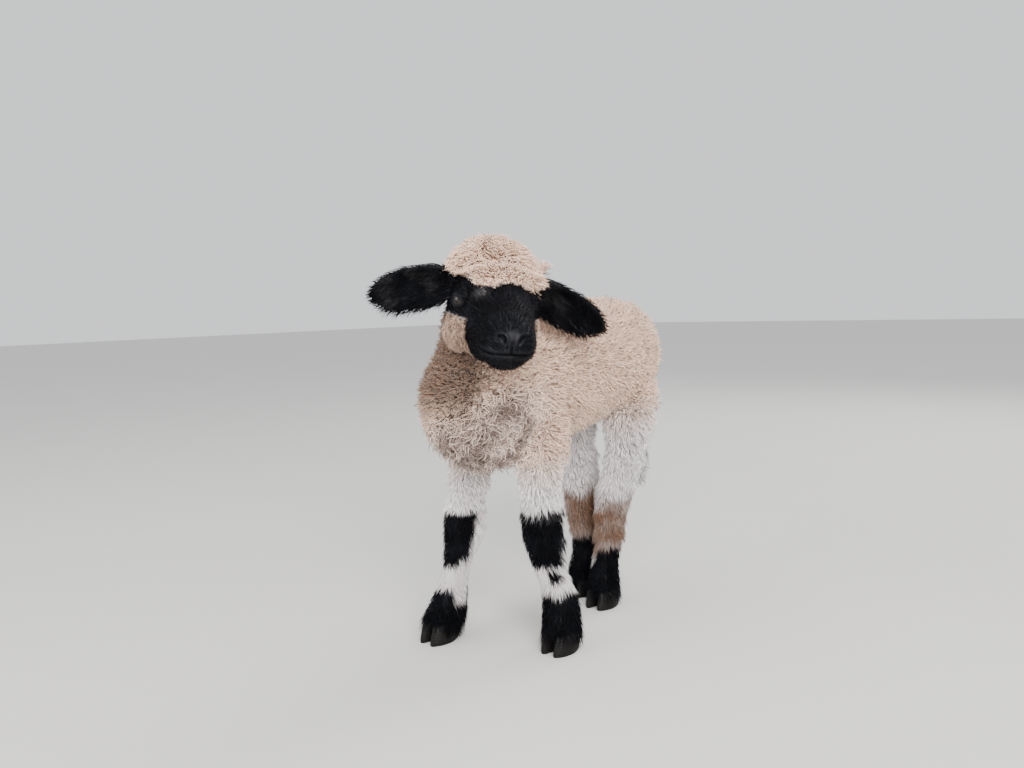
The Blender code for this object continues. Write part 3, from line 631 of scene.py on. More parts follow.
def nostril_lift(f, side, c):
    """A slanting comma-shaped slit on each side of the nose, with a raised wing over it."""
    along = (side - 0.0090) * 0.80 + (c + 0.0062) * 0.60
    over = -(side - 0.0090) * 0.60 + (c + 0.0062) * 0.80
    bend = over + 100 * along**2
    on_nose = ramp(f, 0.066, 0.072)
    slit = np.exp(-((along / 0.0048) ** 4) - ((bend / 0.0015) ** 4)) * on_nose
    wing = np.exp(-((along / 0.0075) ** 2) - (((bend - 0.0033) / 0.0021) ** 2)) * on_nose
    return 0.0010 * wing - 0.0044 * slit


def nose_pad(points):
    """1 on the bare skin between and over the nostrils."""
    forward, left, above = local(HEAD, points).T
    off = (left / 0.0115) ** 2 + ((above + 0.0085) / 0.0080) ** 2
    return ramp(forward, 0.076, 0.080) * (1 - ramp(off, 0.75, 1.2))


def mouth_lift(f, b, c):
    """A groove round the muzzle between full lips, rising a little to the corners."""
    turn = np.arctan2(b / 0.0278, (f - 0.055) / 0.0305)
    level = -0.0245 + 0.003 * (1 - np.maximum(0.0, np.cos(turn)))
    level += 0.0012 * np.cos(turn * 3) * ramp(f, 0.06, 0.08)
    reach = 1 - ramp(np.abs(turn), math.radians(105), math.radians(125))
    reach *= ramp(f, 0.030, 0.038)
    off = c - level
    groove = -0.0026 * np.exp(-((off / 0.0011) ** 2))
    lips = 0.0011 * np.exp(-(((off - 0.0034) / 0.0024) ** 2)) + 0.0009 * np.exp(-(((off + 0.0034) / 0.0024) ** 2))
    return (groove + lips) * reach


def eye_frame(side):
    """The eye's place and ways: out of the head, towards the nose and up."""
    f, b, c = EYE_PLACE
    out = Vector((0.42, side * 0.90, 0.10)).normalized()
    nose = Vector((1, 0, -0.10))
    nose = (nose - out * nose.dot(out)).normalized()
    up = out.cross(nose) * side
    turn = Matrix((out, nose, up * (1 if up.z > 0 else -1))).transposed().to_4x4()
    return HEAD @ Matrix.Translation((f, side * b, c)) @ turn


LID_WIDE, LID_HIGH = 0.76, 0.40  # half the opening between the lids, as angles at the eye's middle


def lid_edge(turn):
    """Where the lids' edge lies, as an angle from the eye's axis: an almond, a little longer to the nose."""
    wide = np.where(np.cos(turn) > 0, LID_WIDE * 1.08, LID_WIDE)
    high = np.where(np.sin(turn) > 0, LID_HIGH, LID_HIGH * 0.86)
    return 1.0 / ((np.abs(np.cos(turn)) / wide) ** 1.6 + (np.abs(np.sin(turn)) / high) ** 1.6) ** (1 / 1.6)


def sink_sockets(mesh):
    """Holds the skin back behind each eye and its lids."""
    points = get_points(mesh)
    for side in (1, -1):
        place = eye_frame(side)
        at = local(place, points)
        distance = np.linalg.norm(at, axis=1)
        tilt = np.arccos(np.clip(at[:, 0] / np.maximum(distance, 1e-6), -1, 1))
        turn = np.arctan2(at[:, 2], at[:, 1])
        room = ramp(tilt - lid_edge(turn), 0.10, 0.85)
        near = (distance < 0.020) & (tilt < 1.9) & (at[:, 0] > 0)
        held = np.minimum(distance, EYE_RADIUS - 0.0012 + room * 0.006)
        at = at * np.where(near, held / np.maximum(distance, 1e-6), 1.0)[:, None]
        matrix = np.array(place)
        moved = at @ matrix[:3, :3].T + matrix[:3, 3]
        points = np.where(near[:, None], moved, points)
    set_points(mesh, points)


def add_lids(bm, side):
    """Two lids as one ring round the eye: a rounded edge, a fold above, and a skirt that sinks in the skin."""
    place = eye_frame(side)
    sides = 72
    layers = (
        (0.02, -0.0012), (-0.03, 0.0001), (-0.01, 0.0007), (0.05, 0.0013), (0.13, 0.0015), (0.24, 0.0013),
        (0.31, 0.0009), (0.40, 0.0014), (0.55, 0.0016), (0.75, 0.0008), (0.95, -0.0010), (0.95, -0.0030), (0.3, -0.0030),
    )
    rings = []
    for widen, rise in layers:
        ring = []
        for k in range(sides):
            turn = 2 * math.pi * k / sides
            tilt = float(lid_edge(np.array(turn))) + widen
            reach = EYE_RADIUS + rise
            spot = Vector((math.cos(tilt), math.sin(tilt) * math.cos(turn), math.sin(tilt) * math.sin(turn)))
            ring.append(bm.verts.new(place @ (spot * reach)))
        rings.append(ring)
    rings.append(rings[0])
    for low, high in zip(rings, rings[1:]):
        for k in range(sides):
            n = (k + 1) % sides
            bm.faces.new((low[k], low[n], high[n], high[k]))


def join_ears(skin):
    """Adds the ears by a union, so that the skin stays one closed surface."""
    for side in (1, -1):
        leaf = ear_leaf(side, EAR_SKIN)
        union = skin.modifiers.new("ear", "BOOLEAN")
        union.operation = "UNION"
        union.solver = "MANIFOLD"
        union.object = leaf
        applied(skin)
        bpy.data.objects.remove(leaf)


def join_lids(skin):
    bm = bmesh.new()
    bm.from_mesh(skin.data)
    first = len(bm.faces)
    for side in (1, -1):
        add_lids(bm, side)
    bm.faces.ensure_lookup_table()
    bmesh.ops.recalc_face_normals(bm, faces=bm.faces[first:])
    bm.to_mesh(skin.data)
    bm.free()


def make_skin():
    skin = rough_skin()
    refine(skin, near_face)
    refine(skin, near_details)
    shape_face(skin.data)
    sink_sockets(skin.data)
    join_ears(skin)
    return skin


class Sites:
    """Roots of locks: place, outward way, zone, way to the middle of its clump and the clump's own chances."""

    def __init__(self, points, normals, zones, pull, chances):
        self.points = points
        self.normals = normals
        self.zones = zones
        self.pull = pull
        self.chances = chances

    def pick(self, chosen):
        columns = (self.points, self.normals, self.zones, self.pull, self.chances)
        return Sites(*(column[chosen] for column in columns))


def triangles_of(mesh):
    mesh.calc_loop_triangles()
    flat = np.empty(len(mesh.loop_triangles) * 3, dtype=np.int32)
    mesh.loop_triangles.foreach_get("vertices", flat)
    return flat.reshape(-1, 3)


def scatter(mesh, chosen, spacing, rng):
    """Even random places and outward ways on the faces picked, no two closer than the spacing."""
    points, normals = get_points(mesh), get_normals(mesh)
    corners = triangles_of(mesh)
    middles = points[corners].mean(axis=1)
    keep = chosen(middles)
    corners = corners[keep]
    a, b, c = (points[corners[:, k]] for k in range(3))
    area = 0.5 * np.linalg.norm(np.cross(b - a, c - a), axis=1)
    count = int(area.sum() / spacing**2 * 3.2)
    face = rng.choice(len(corners), size=count, p=area / area.sum())
    u, v = rng.random(count), rng.random(count)
    flip = u + v > 1
    u[flip], v[flip] = 1 - u[flip], 1 - v[flip]
    weights = np.stack((1 - u - v, u, v), axis=1)[:, :, None]
    places = (points[corners[face]] * weights).sum(axis=1)
    ways = unit((normals[corners[face]] * weights).sum(axis=1))
    kept = thin_out(places, spacing)
    return places[kept], ways[kept]


def gather(places, ways, cell, rng):
    """Joins the roots in clumps about a cell wide."""
    middles = places[thin_out(places, cell)]
    tree = kdtree.KDTree(len(middles))
    for index, middle in enumerate(middles.tolist()):
        tree.insert(middle, index)
    tree.balance()
    mine = np.array([tree.find(place)[1] for place in places.tolist()])
    pull = middles[mine] - places
    pull -= ways * (pull * ways).sum(axis=1, keepdims=True)
    length = np.linalg.norm(pull, axis=1, keepdims=True)
    pull *= np.minimum(1.0, cell / np.maximum(length, 1e-9))
    chances = rng.random((len(middles), 2))[mine]
    return Sites(places, ways, zones_of(places), pull, chances)


def thin_out(places, spacing):
    """Takes places one by one and leaves out each that is too near one already taken."""
    cell = spacing
    keys = np.floor(places / cell).astype(int)
    taken = {}
    kept = []
    near = [(i, j, k) for i in (-1, 0, 1) for j in (-1, 0, 1) for k in (-1, 0, 1)]
    limit = spacing * spacing
    for index, (key, place) in enumerate(zip(map(tuple, keys.tolist()), places.tolist())):
        free = True
        for i, j, k in near:
            for x, y, z in taken.get((key[0] + i, key[1] + j, key[2] + k), ()):
                if (x - place[0]) ** 2 + (y - place[1]) ** 2 + (z - place[2]) ** 2 < limit:
                    free = False
                    break
            if not free:
                break
        if free:
            taken.setdefault(key, []).append(place)
            kept.append(index)
    return np.array(kept, dtype=int)


def along_skin(ways, normals):
    """Each way laid flat on the skin."""
    return unit(ways - normals * (ways * normals).sum(axis=1, keepdims=True))


def turn_about(ways, normals, angles):
    cos, sin = np.cos(angles)[:, None], np.sin(angles)[:, None]
    return ways * cos + np.cross(normals, ways) * sin


def low_edge(points):
    """1 on the lower edge of an ear, 0 on its upper half."""
    share = np.zeros(len(points))
    left = local(HEAD, points)[:, 1] > 0
    for side, place in EARS.items():
        across = local(place, points)[:, 2]
        down = across * (-1 if place.to_3x3().col[2].z > 0 else 1)
        mine = left == (side > 0)
        share[mine] = ramp(down, 0.006, 0.018)[mine]
    return share


def lie_of(sites, rng, spread):
    """The way the coat lies at each root: back and down on the body, down on the legs, from the nose up the
    face, away from the crown on the cap and along the ears, turned at random by up to the spread."""
    points, zones = sites.points, sites.zones
    ways = np.tile(np.array((0.0, 0.55, -0.80)), (len(points), 1))
    ways[zones == "neck"] = (0.0, 0.25, -1.0)
    ways[np.isin(zones, ("leg", "thigh", "tail"))] = (0.0, 0.10, -1.0)
    head = np.array(HEAD)[:3, :3]
    on_head = zones == "head"
    at = local(HEAD, points[on_head])
    crown = unit(at - np.array(CROWN))
    face = np.stack((-np.ones(len(at)), at[:, 1] * 9.0, np.full(len(at), 0.15)), axis=1)
    dark = face_black(points[on_head])[:, None]
    ways[on_head] = (crown * (1 - dark) + face * dark) @ head.T
    low = low_edge(points)
    for side, place in EARS.items():
        mine = (zones == "ear") & ((local(HEAD, points)[:, 1] > 0) == (side > 0))
        ways[mine] = np.array(place)[:3, 0] + low[mine, None] * np.array((0.0, 0.0, -0.9))
    ways = along_skin(unit(ways), sites.normals)
    swirl = 0.9 * drift(points, 60.0, 12)
    return turn_about(ways, sites.normals, spread * (rng.uniform(-1, 1, len(points)) + swirl))


def lock_places(steps):
    """Where the rings of a lock are along it: closer together in the part that is seen."""
    if steps < 3:
        return np.linspace(0.0, 1.0, steps + 1)
    return np.concatenate(((0.0,), np.linspace(0.42, 1.0, steps)))


def strands(sites, flow, rng, rise, reach, width, curl, turns, nub, arch, steps):
    """Closed, tapered locks: each rises from its root, leans to its clump and winds round its own line.

    The arch is 1 for a lock that leans evenly, more for one that stands up first and then hangs over.

    Gives the points (locks, rings, 3 corners), the places along the lock and the tips."""
    count = len(sites.points)
    root, out = sites.points, sites.normals
    cross = np.cross(out, flow)
    s = lock_places(steps)
    vary = rng.uniform(0.86, 1.10, count) * (1 + 0.16 * (rng.random(count) < 0.05))
    rise, reach, curl, width = (np.broadcast_to(v, count) * vary for v in (rise, reach, curl, width))
    apart = np.linalg.norm(sites.pull, axis=1)
    rise = rise * (1 - nub * np.minimum(apart / 0.0035, 1.4) ** 2)
    phase = 2 * math.pi * sites.chances[:, 0] + rng.uniform(-1, 1, count) * math.pi * OWN_WAY
    wind = np.broadcast_to(turns, count) * np.sign(sites.chances[:, 1] - 0.5)
    up = 1 - (1 - s) ** arch - 0.08 * s**4
    swing = ramp(s, 0.0, 0.55)
    angle = phase[:, None] + 2 * math.pi * wind[:, None] * s[None, :]
    height = rise[:, None] * up + 0.75 * curl[:, None] * swing * (np.sin(angle) - np.sin(phase)[:, None])
    aside = curl[:, None] * swing * (np.cos(angle) - np.cos(phase)[:, None])
    line = (
        (root - out * 0.0008)[:, None, :]
        + out[:, None, :] * height[:, :, None]
        + flow[:, None, :] * (reach[:, None] * s**1.7)[:, :, None]
        + cross[:, None, :] * aside[:, :, None]
        + sites.pull[:, None, :] * (GATHER * s**1.5)[None, :, None]
    )
    line[:, :, 2] = np.maximum(line[:, :, 2], FLOOR_GAP)
    along = np.gradient(line, axis=1)
    along /= np.maximum(np.linalg.norm(along, axis=2, keepdims=True), 1e-9)
    wide = np.cross(along, out[:, None, :] + 0.001)
    wide /= np.maximum(np.linalg.norm(wide, axis=2, keepdims=True), 1e-9)
    thick = np.cross(wide, along)
    profile = (0.75 + 0.25 * ramp(s, 0.0, 0.3)) * (1 - s**3.0) ** 0.70
    size = (0.5 * width[:, None] * np.maximum(profile, 0.05)[None, :])[:, :, None]
    corners = np.stack((line + wide * size, line - wide * size, line + thick * size * 1.1), axis=2)
    return corners, line[:, -1, :], s


def lock_faces(steps):
    """Triangles of one lock with so many steps: a foot, the sides and a pointed tip."""
    faces = [(0, 2, 1)]
    for i in range(steps - 1):
        for k in range(3):
            a, b = 3 * i + k, 3 * i + (k + 1) % 3
            faces.append((a, b, b + 3))
            faces.append((a, b + 3, a + 3))
    tip = 3 * steps
    last = 3 * (steps - 1)
    for k in range(3):
        faces.append((last + k, last + (k + 1) % 3, tip))
    return np.array(faces, dtype=np.int32)


def build_locks(name, sites, made, steps, unwrap, rng, material, slot):
    """One mesh of locks, with the markings at their roots and the bake map of small patches."""
    corners, tips, s = made
    count = len(sites.points)
    body = corners[:, :steps].reshape(count, steps * 3, 3)
    points = np.concatenate((body, tips[:, None, :]), axis=1)
    per = steps * 3 + 1
    faces = lock_faces(steps)
    all_faces = (faces[None] + (np.arange(count) * per)[:, None, None]).reshape(-1, 3)
    mesh = bpy.data.meshes.new(name)
    mesh.vertices.add(count * per)
    mesh.loops.add(all_faces.size)
    mesh.polygons.add(len(all_faces))
    mesh.vertices.foreach_set("co", (points.reshape(-1, 3) + np.array(OFFSET)).ravel())
    mesh.loops.foreach_set("vertex_index", all_faces.ravel())
    mesh.polygons.foreach_set("loop_start", np.arange(len(all_faces)) * 3)
    mesh.update(calc_edges=True)
    mesh.shade_smooth()
    black, stain_and_shade, pale = marking_values(sites.points, sites.zones)
    dull_and_shade = dull_and_shade_share(sites.points, sites.zones)
    tint = 0.6 * sites.chances[:, 1] + 0.4 * rng.random(count)
    place = np.concatenate((np.repeat(s[:steps], 3), (1.0,)))
    across = np.concatenate((np.tile((0.0, 0.5, 1.0), steps), (0.5,)))
    for key, value in (("black", black), ("stain_and_shade", stain_and_shade), ("pale", pale), ("dull_and_shade", dull_and_shade), ("tint", tint)):
        set_attribute(mesh, key, np.repeat(value, per))
    set_attribute(mesh, "along", np.tile(place, count))
    patch = np.stack((place, across), axis=1) * 0.003 - 0.0015
    at = 0.004 + 0.992 * np.clip(unwrap(sites.points), 0, 1)
    spots = (at[:, None, :] + patch[None]).reshape(-1, 2)
    layer = mesh.uv_layers.new(name="OFBake")
    layer.data.foreach_set("uv", spots[all_faces.ravel()].ravel())
    mesh.materials.append(material)
    obj = make_object(name, mesh)
    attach(obj, "root")


def unwrap_body(points):
    """The trunk and neck unrolled about a middle line from the nape to the tail."""
    x, y, z = points.T
    middle = np.interp(y, (-0.03, 0.03, 0.12, 0.28), (0.300, 0.309, 0.311, 0.320))
    along = np.where(y < 0.03, y - 0.55 * np.maximum(z - 0.33, 0.0), y)
    turn = np.arctan2(x, z - middle) / (2 * math.pi) + 0.5
    return np.stack((turn, (along + 0.15) / 0.46), axis=1)


def unwrap_head(points):
    at = local(HEAD, points)
    turn = np.arctan2(at[:, 1], at[:, 2] + 0.012) / (2 * math.pi) + 0.5
    return np.stack((turn, (at[:, 0] + 0.085) / 0.18), axis=1)


def unwrap_ears(points):
    made = np.zeros((len(points), 2))
    left = local(HEAD, points)[:, 1] > 0
    for side, place in EARS.items():
        at = local(place, points)
        mine = left == (side > 0)
        turn = np.arctan2(at[:, 2], at[:, 1] - 0.004) / (2 * math.pi) + 0.5
        spot = np.stack(((turn + (side > 0)) / 2, at[:, 0] / 0.11), axis=1)
        made[mine] = spot[mine]
    return made


def unwrap_legs(points):
    """Each leg unrolled in its own quarter of the map."""
    inward, behind, fore, left = about_leg(points)
    number = 2 * fore + left
    turn = np.arctan2(inward, behind) / (2 * math.pi) + 0.5
    return np.stack(((turn * 0.98 + number) / 4, points[:, 2] / 0.26), axis=1)


def unwrap_tail(points):
    turn = np.arctan2(points[:, 0], points[:, 1] - 0.297) / (2 * math.pi) + 0.5
    return np.stack((turn, (points[:, 2] - 0.14) / 0.24), axis=1)


def grow(name, mesh, chosen, spacing, cell, unwrap, look, form, steps, spread, seed):
    """Scatters roots and builds their locks, in pieces small enough to export.

    The look is a material and its slot; the form gives rise, reach, width, curl, turns, nub and arch, each a
    number or as a function of the roots' places."""
    rng = np.random.default_rng(SEED * 1000 + seed)
    places, ways = scatter(mesh, chosen, spacing * (1.0), rng)
    sites = gather(places, ways, cell, rng)
    order = np.argsort(places[:, 1], kind="stable")
    per = len(lock_faces(steps))
    parts = math.ceil(len(order) * per / MOST_TRIANGLES)
    for number, share in enumerate(np.array_split(order, parts)):
        mine = sites.pick(share)
        flow = lie_of(mine, rng, spread)
        sizes = [value(mine.points) if callable(value) else value for value in form]
        made = strands(mine, flow, rng, *sizes, steps)
        label = f"{name}_{number + 1}" if parts > 1 else name
        build_locks(label, mine, made, steps, unwrap, rng, *look)
    print(name, len(order), "locks", len(order) * per, "triangles")


def new_material(name):
    mat = bpy.data.materials.new(name)
    mat.use_nodes = True
    tree = mat.node_tree
    shader = tree.nodes["Principled BSDF"]
    return mat, tree, shader


def node(tree, kind, **values):
    made = tree.nodes.new(kind)
    for key, value in values.items():
        setattr(made, key, value)
    return made


def attribute(tree, name):
    return node(tree, "ShaderNodeAttribute", attribute_name=name, attribute_type="GEOMETRY").outputs["Fac"]


def mix(tree, share, first, second):
    """A colour between two, by a share that is linked or a number."""
    made = node(tree, "ShaderNodeMix", data_type="RGBA")
    for socket, value in ((made.inputs[0], share), (made.inputs[6], first), (made.inputs[7], second)):
        if isinstance(value, bpy.types.NodeSocket):
            tree.links.new(value, socket)
        elif isinstance(value, tuple):
            socket.default_value = (*value, 1.0)
        else:
            socket.default_value = value
    return made.outputs[2]


def math_node(tree, operation, first, second=0.0, clamp=False):
    made = node(tree, "ShaderNodeMath", operation=operation, use_clamp=clamp)
    for socket, value in zip(made.inputs, (first, second)):
        if isinstance(value, bpy.types.NodeSocket):
            tree.links.new(value, socket)
        else:
            socket.default_value = value
    return made.outputs[0]


def noise_at(tree, scale, detail=2.0, roughness=0.5):
    where = node(tree, "ShaderNodeTexCoord")
    made = node(tree, "ShaderNodeTexNoise")
    made.inputs["Scale"].default_value = scale
    made.inputs["Detail"].default_value = detail
    made.inputs["Roughness"].default_value = roughness
    tree.links.new(where.outputs["Object"], made.inputs["Vector"])
    return made.outputs["Fac"]


def add_bump(tree, shader, height, strength, distance):
    made = node(tree, "ShaderNodeBump")
    made.inputs["Strength"].default_value = strength
    made.inputs["Distance"].default_value = distance
    tree.links.new(height, made.inputs["Height"])
    tree.links.new(made.outputs["Normal"], shader.inputs["Normal"])


# Colours of the coat
CREAM = (0.91, 0.628, 0.462)
CREAM_DEEP = (0.76, 0.482, 0.330)
CREAM_LIGHT = (0.95, 0.757, 0.600)
PALE = (0.79, 0.745, 0.750)
PALE_LIGHT = (0.90, 0.870, 0.875)
# Tan of the stains, darkened with painted shade for the hocks and neck
TAN_SHADED = (0.165, 0.084, 0.046)
# Grey-brown of matted wool, darkened with painted shade between the curls
DULL_AND_SHADE = (0.125, 0.100, 0.092)
# Painted shade deep in the coat, at the roots of the locks
ROOT_SHADE = (0.20, 0.120, 0.085)
BLACK = (0.0030, 0.0032, 0.0045)
# Lighter black of the patches on the dark face, ears and legs: partly wear, partly painted highlight
BLACK_WORN_AND_LIT = (0.0135, 0.0140, 0.0190)


def coat_colour(tree, tint, stain_and_shade):
    """The wool's cream, the legs' white, stains with painted shade, and black with worn patches that also stand for
    painted highlight, each varied; shared by the skin and every lock.
    """
    patch = noise_at(tree, 38.0, 3.0)
    warm = mix(tree, math_node(tree, "MULTIPLY", patch, 0.55, clamp=True), CREAM, CREAM_DEEP)
    warm = mix(tree, math_node(tree, "MULTIPLY", tint, 0.30), warm, CREAM_LIGHT)
    light = mix(tree, math_node(tree, "MULTIPLY", tint, 0.45), PALE, PALE_LIGHT)
    wool = mix(tree, attribute(tree, "pale"), warm, light)
    wool = mix(tree, stain_and_shade, wool, TAN_SHADED)
    # Lighter patches on the black: partly wear, partly painted highlight
    wear_and_highlight = math_node(tree, "MULTIPLY", math_node(tree, "SUBTRACT", patch, 0.42), 3.0, clamp=True)
    dark = mix(tree, math_node(tree, "MULTIPLY", wear_and_highlight, tint), BLACK, BLACK_WORN_AND_LIT)
    return mix(tree, attribute(tree, "black"), wool, dark)


def lock_material(name, roughness, sheen, gloss, root_shade):
    """Wool or hair: painted shade darkening each lock towards its root, each lock its own tint, fine fibres as bump.

    Where the coat is dull, most locks are grey and the rest are dark up to their shiny tips: partly the grey of matted
    wool, partly painted shade between the curls."""
    mat, tree, shader = new_material(name)
    tint = attribute(tree, "tint")
    dull_and_shade = attribute(tree, "dull_and_shade")
    colour = coat_colour(tree, tint, attribute(tree, "stain_and_shade"))
    # Matted grey and painted shade on most locks where the coat is dull
    lack = math_node(tree, "MULTIPLY", math_node(tree, "SUBTRACT", 0.66, tint), 4.0, clamp=True)
    colour = mix(tree, math_node(tree, "MULTIPLY", lack, math_node(tree, "MULTIPLY", dull_and_shade, 0.85)), colour, DULL_AND_SHADE)
    # Painted shade: each lock darker towards its root, further up where the coat is dull
    depth = math_node(tree, "SUBTRACT", 1.0, attribute(tree, "along"), clamp=True)
    painted_light = math_node(tree, "POWER", depth, math_node(tree, "SUBTRACT", 1.5, math_node(tree, "MULTIPLY", dull_and_shade, 0.8)))
    strength = math_node(tree, "ADD", root_shade, math_node(tree, "MULTIPLY", dull_and_shade, 0.75))
    final = mix(tree, math_node(tree, "MULTIPLY", painted_light, strength, clamp=True), colour, ROOT_SHADE)
    tree.links.new(mix(tree, attribute(tree, "black"), final, colour), shader.inputs["Base Color"])
    shader.inputs["Roughness"].default_value = roughness
    shader.inputs["Specular IOR Level"].default_value = gloss
    shader.inputs["Sheen Weight"].default_value = sheen
    shader.inputs["Sheen Roughness"].default_value = 0.5
    fibres = noise_at(tree, 1400.0, 2.0, 0.6)
    add_bump(tree, shader, fibres, 0.5, 0.0006)
    return mat


def skin_material():
    """Skin under the coat, with the same markings and the nap of short hair; moist and bare on the nose."""
    mat, tree, shader = new_material("lamb_skin")
    grain = noise_at(tree, 420.0, 4.0, 0.6)
    stain_and_shade = math_node(tree, "MULTIPLY", attribute(tree, "stain_and_shade"), 0.78)
    tree.links.new(coat_colour(tree, grain, stain_and_shade), shader.inputs["Base Color"])
    bare = attribute(tree, "bare")
    rough = math_node(tree, "SUBTRACT", 0.62, math_node(tree, "MULTIPLY", bare, 0.30))
    tree.links.new(rough, shader.inputs["Roughness"])
    shader.inputs["Specular IOR Level"].default_value = 0.12
    nap = noise_at(tree, 900.0, 3.0, 0.65)
    add_bump(tree, shader, nap, 0.6, 0.0006)
    return mat


def eye_material():
    """A dark brown iris with a level oblong pupil under a clear, wet surface."""
    mat, tree, shader = new_material("lamb_eye")
    where = node(tree, "ShaderNodeTexCoord")
    parts = node(tree, "ShaderNodeSeparateXYZ")
    tree.links.new(where.outputs["Object"], parts.inputs[0])
    level = math_node(tree, "DIVIDE", parts.outputs["Y"], 0.0048)
    upright = math_node(tree, "DIVIDE", parts.outputs["Z"], 0.0020)
    pupil = math_node(tree, "ADD", math_node(tree, "POWER", math_node(tree, "ABSOLUTE", level), 4.0),
                      math_node(tree, "POWER", math_node(tree, "ABSOLUTE", upright), 2.0))
    in_pupil = math_node(tree, "LESS_THAN", pupil, 1.0)
    square = math_node(tree, "ADD", math_node(tree, "POWER", math_node(tree, "ABSOLUTE", parts.outputs["Y"]), 2.0),
                       math_node(tree, "POWER", math_node(tree, "ABSOLUTE", parts.outputs["Z"]), 2.0))
    out = math_node(tree, "SQRT", square)
    in_iris = math_node(tree, "LESS_THAN", out, 0.0074)
    streaks = noise_at(tree, 1100.0, 3.0, 0.7)
    iris = mix(tree, streaks, (0.007, 0.004, 0.0025), (0.018, 0.010, 0.005))
    rim = math_node(tree, "MULTIPLY", math_node(tree, "GREATER_THAN", out, 0.0064), 0.8)
    iris = mix(tree, rim, iris, (0.010, 0.007, 0.006))
    iris = mix(tree, in_pupil, iris, (0.003, 0.003, 0.004))
    white = mix(tree, streaks, (0.016, 0.012, 0.011), (0.034, 0.026, 0.024))
    tree.links.new(mix(tree, in_iris, white, iris), shader.inputs["Base Color"])
    shader.inputs["Roughness"].default_value = 0.10
    shader.inputs["Specular IOR Level"].default_value = 0.20
    shader.inputs["Coat Weight"].default_value = 0.25
    shader.inputs["Coat Roughness"].default_value = 0.03
    return mat


def hoof_material():
    """Dark horn with growth rings."""
    mat, tree, shader = new_material("hoof_horn")
    where = node(tree, "ShaderNodeTexCoord")
    rings = node(tree, "ShaderNodeTexWave", wave_type="BANDS", bands_direction="Z")
    rings.inputs["Scale"].default_value = 95.0
    rings.inputs["Distortion"].default_value = 3.5
    rings.inputs["Detail"].default_value = 3.0
    tree.links.new(where.outputs["Object"], rings.inputs["Vector"])
    grain = noise_at(tree, 300.0, 4.0, 0.6)
    colour = mix(tree, grain, (0.003, 0.0027, 0.0027), (0.007, 0.0060, 0.0057))
    colour = mix(tree, math_node(tree, "MULTIPLY", rings.outputs["Fac"], 0.35), colour, (0.013, 0.0110, 0.0100))
    tree.links.new(colour, shader.inputs["Base Color"])
    shader.inputs["Roughness"].default_value = 0.50
    shader.inputs["Specular IOR Level"].default_value = 0.10
    add_bump(tree, shader, rings.outputs["Fac"], 0.35, 0.0004)
    return mat


def floor_material():
    mat, tree, shader = new_material("studio_floor")
    colour = mix(tree, noise_at(tree, 3.0, 4.0), (0.62, 0.61, 0.59), (0.66, 0.65, 0.63))
    tree.links.new(colour, shader.inputs["Base Color"])
    shader.inputs["Roughness"].default_value = 0.9
    return mat


def make_eye(side, name, mat):
    """A smooth ball with a clear bulge in front, its own axes along the eye's, out of the head and up."""
    bm = bmesh.new()
    bmesh.ops.create_uvsphere(bm, u_segments=48, v_segments=32, radius=EYE_RADIUS)
    bmesh.ops.rotate(bm, cent=(0, 0, 0), matrix=Matrix.Rotation(math.pi / 2, 3, "Y"), verts=bm.verts)
    for vert in bm.verts:
        front = max(0.0, vert.co.x / EYE_RADIUS - 0.72) / 0.28
        vert.co.x += 0.0006 * front * front * (3 - 2 * front)
    mesh = bpy.data.meshes.new(name)
    bm.to_mesh(mesh)
    bm.free()
    mesh.shade_smooth()
    mesh.materials.append(mat)
    obj = make_object(name, mesh)
    obj.matrix_world = Matrix.Translation(OFFSET) @ eye_frame(side)
    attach(obj, "root")
    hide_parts("eye_left" if side > 0 else "eye_right")


def make_hoof(leg, place, side, mat):
    """One claw: rounded wall, pointed toe turned in, flat sole, and a soft rim where the hair begins."""
    stations = LEGS[leg][0]
    pastern = stations[-1]
    way = side if leg.endswith("left") else -side
    x = pastern[0] + way * 0.0107
    levels = (
        (HOOF_HEIGHT + 0.0000, -0.0010, 0.0070, 0.0150), (HOOF_HEIGHT - 0.0008, -0.0010, 0.0089, 0.0186),
        (0.0200, -0.0020, 0.0094, 0.0197), (0.0150, -0.0030, 0.0096, 0.0205), (0.0100, -0.0040, 0.0097, 0.0211),
        (0.0050, -0.0050, 0.0097, 0.0214), (0.0015, -0.0056, 0.0095, 0.0212), (0.0004, -0.0058, 0.0091, 0.0208),
        (0.0, -0.0060, 0.0084, 0.0200),
    )
    sides = 40
    bm = bmesh.new()
    rings = []
    for z, back, wide, long in levels:
        ring = []
        for k in range(sides):
            turn = 2 * math.pi * k / sides
            toe = max(0.0, -math.sin(turn))
            across = wide * (math.cos(turn) * (1.0 - 0.2 * toe) - way * 0.25 * toe**2)
            ring.append(bm.verts.new((x + across, pastern[1] + back + long * math.sin(turn), z)))
        rings.append(ring)
    for low, high in zip(rings, rings[1:]):
        for k in range(sides):
            n = (k + 1) % sides
            bm.faces.new((low[k], low[n], high[n], high[k]))
    bm.faces.new(rings[0])
    bm.faces.new(rings[-1])
    bmesh.ops.recalc_face_normals(bm, faces=bm.faces)
    bmesh.ops.translate(bm, vec=OFFSET, verts=bm.verts)
    mesh = bpy.data.meshes.new(f"hoof_{leg}_{place}")
    bm.to_mesh(mesh)
    bm.free()
    mesh.shade_smooth()
    mesh.materials.append(mat)
    obj = make_object(f"hoof_{leg}_{place}", mesh)
    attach(obj, "root")
    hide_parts(f"claw_{leg}_{place}")


def in_zone(*names):
    return lambda points: np.isin(zones_of(points), names)


def wool_cap(points):
    return (zones_of(points) == "head") & (face_black(points) < 0.5)


def dark_face(points):
    return (zones_of(points) == "head") & (face_black(points) >= 0.5) & (nose_pad(points) < 0.5)


def between(low, high, share):
    return lambda points: low + (high - low) * share(points)


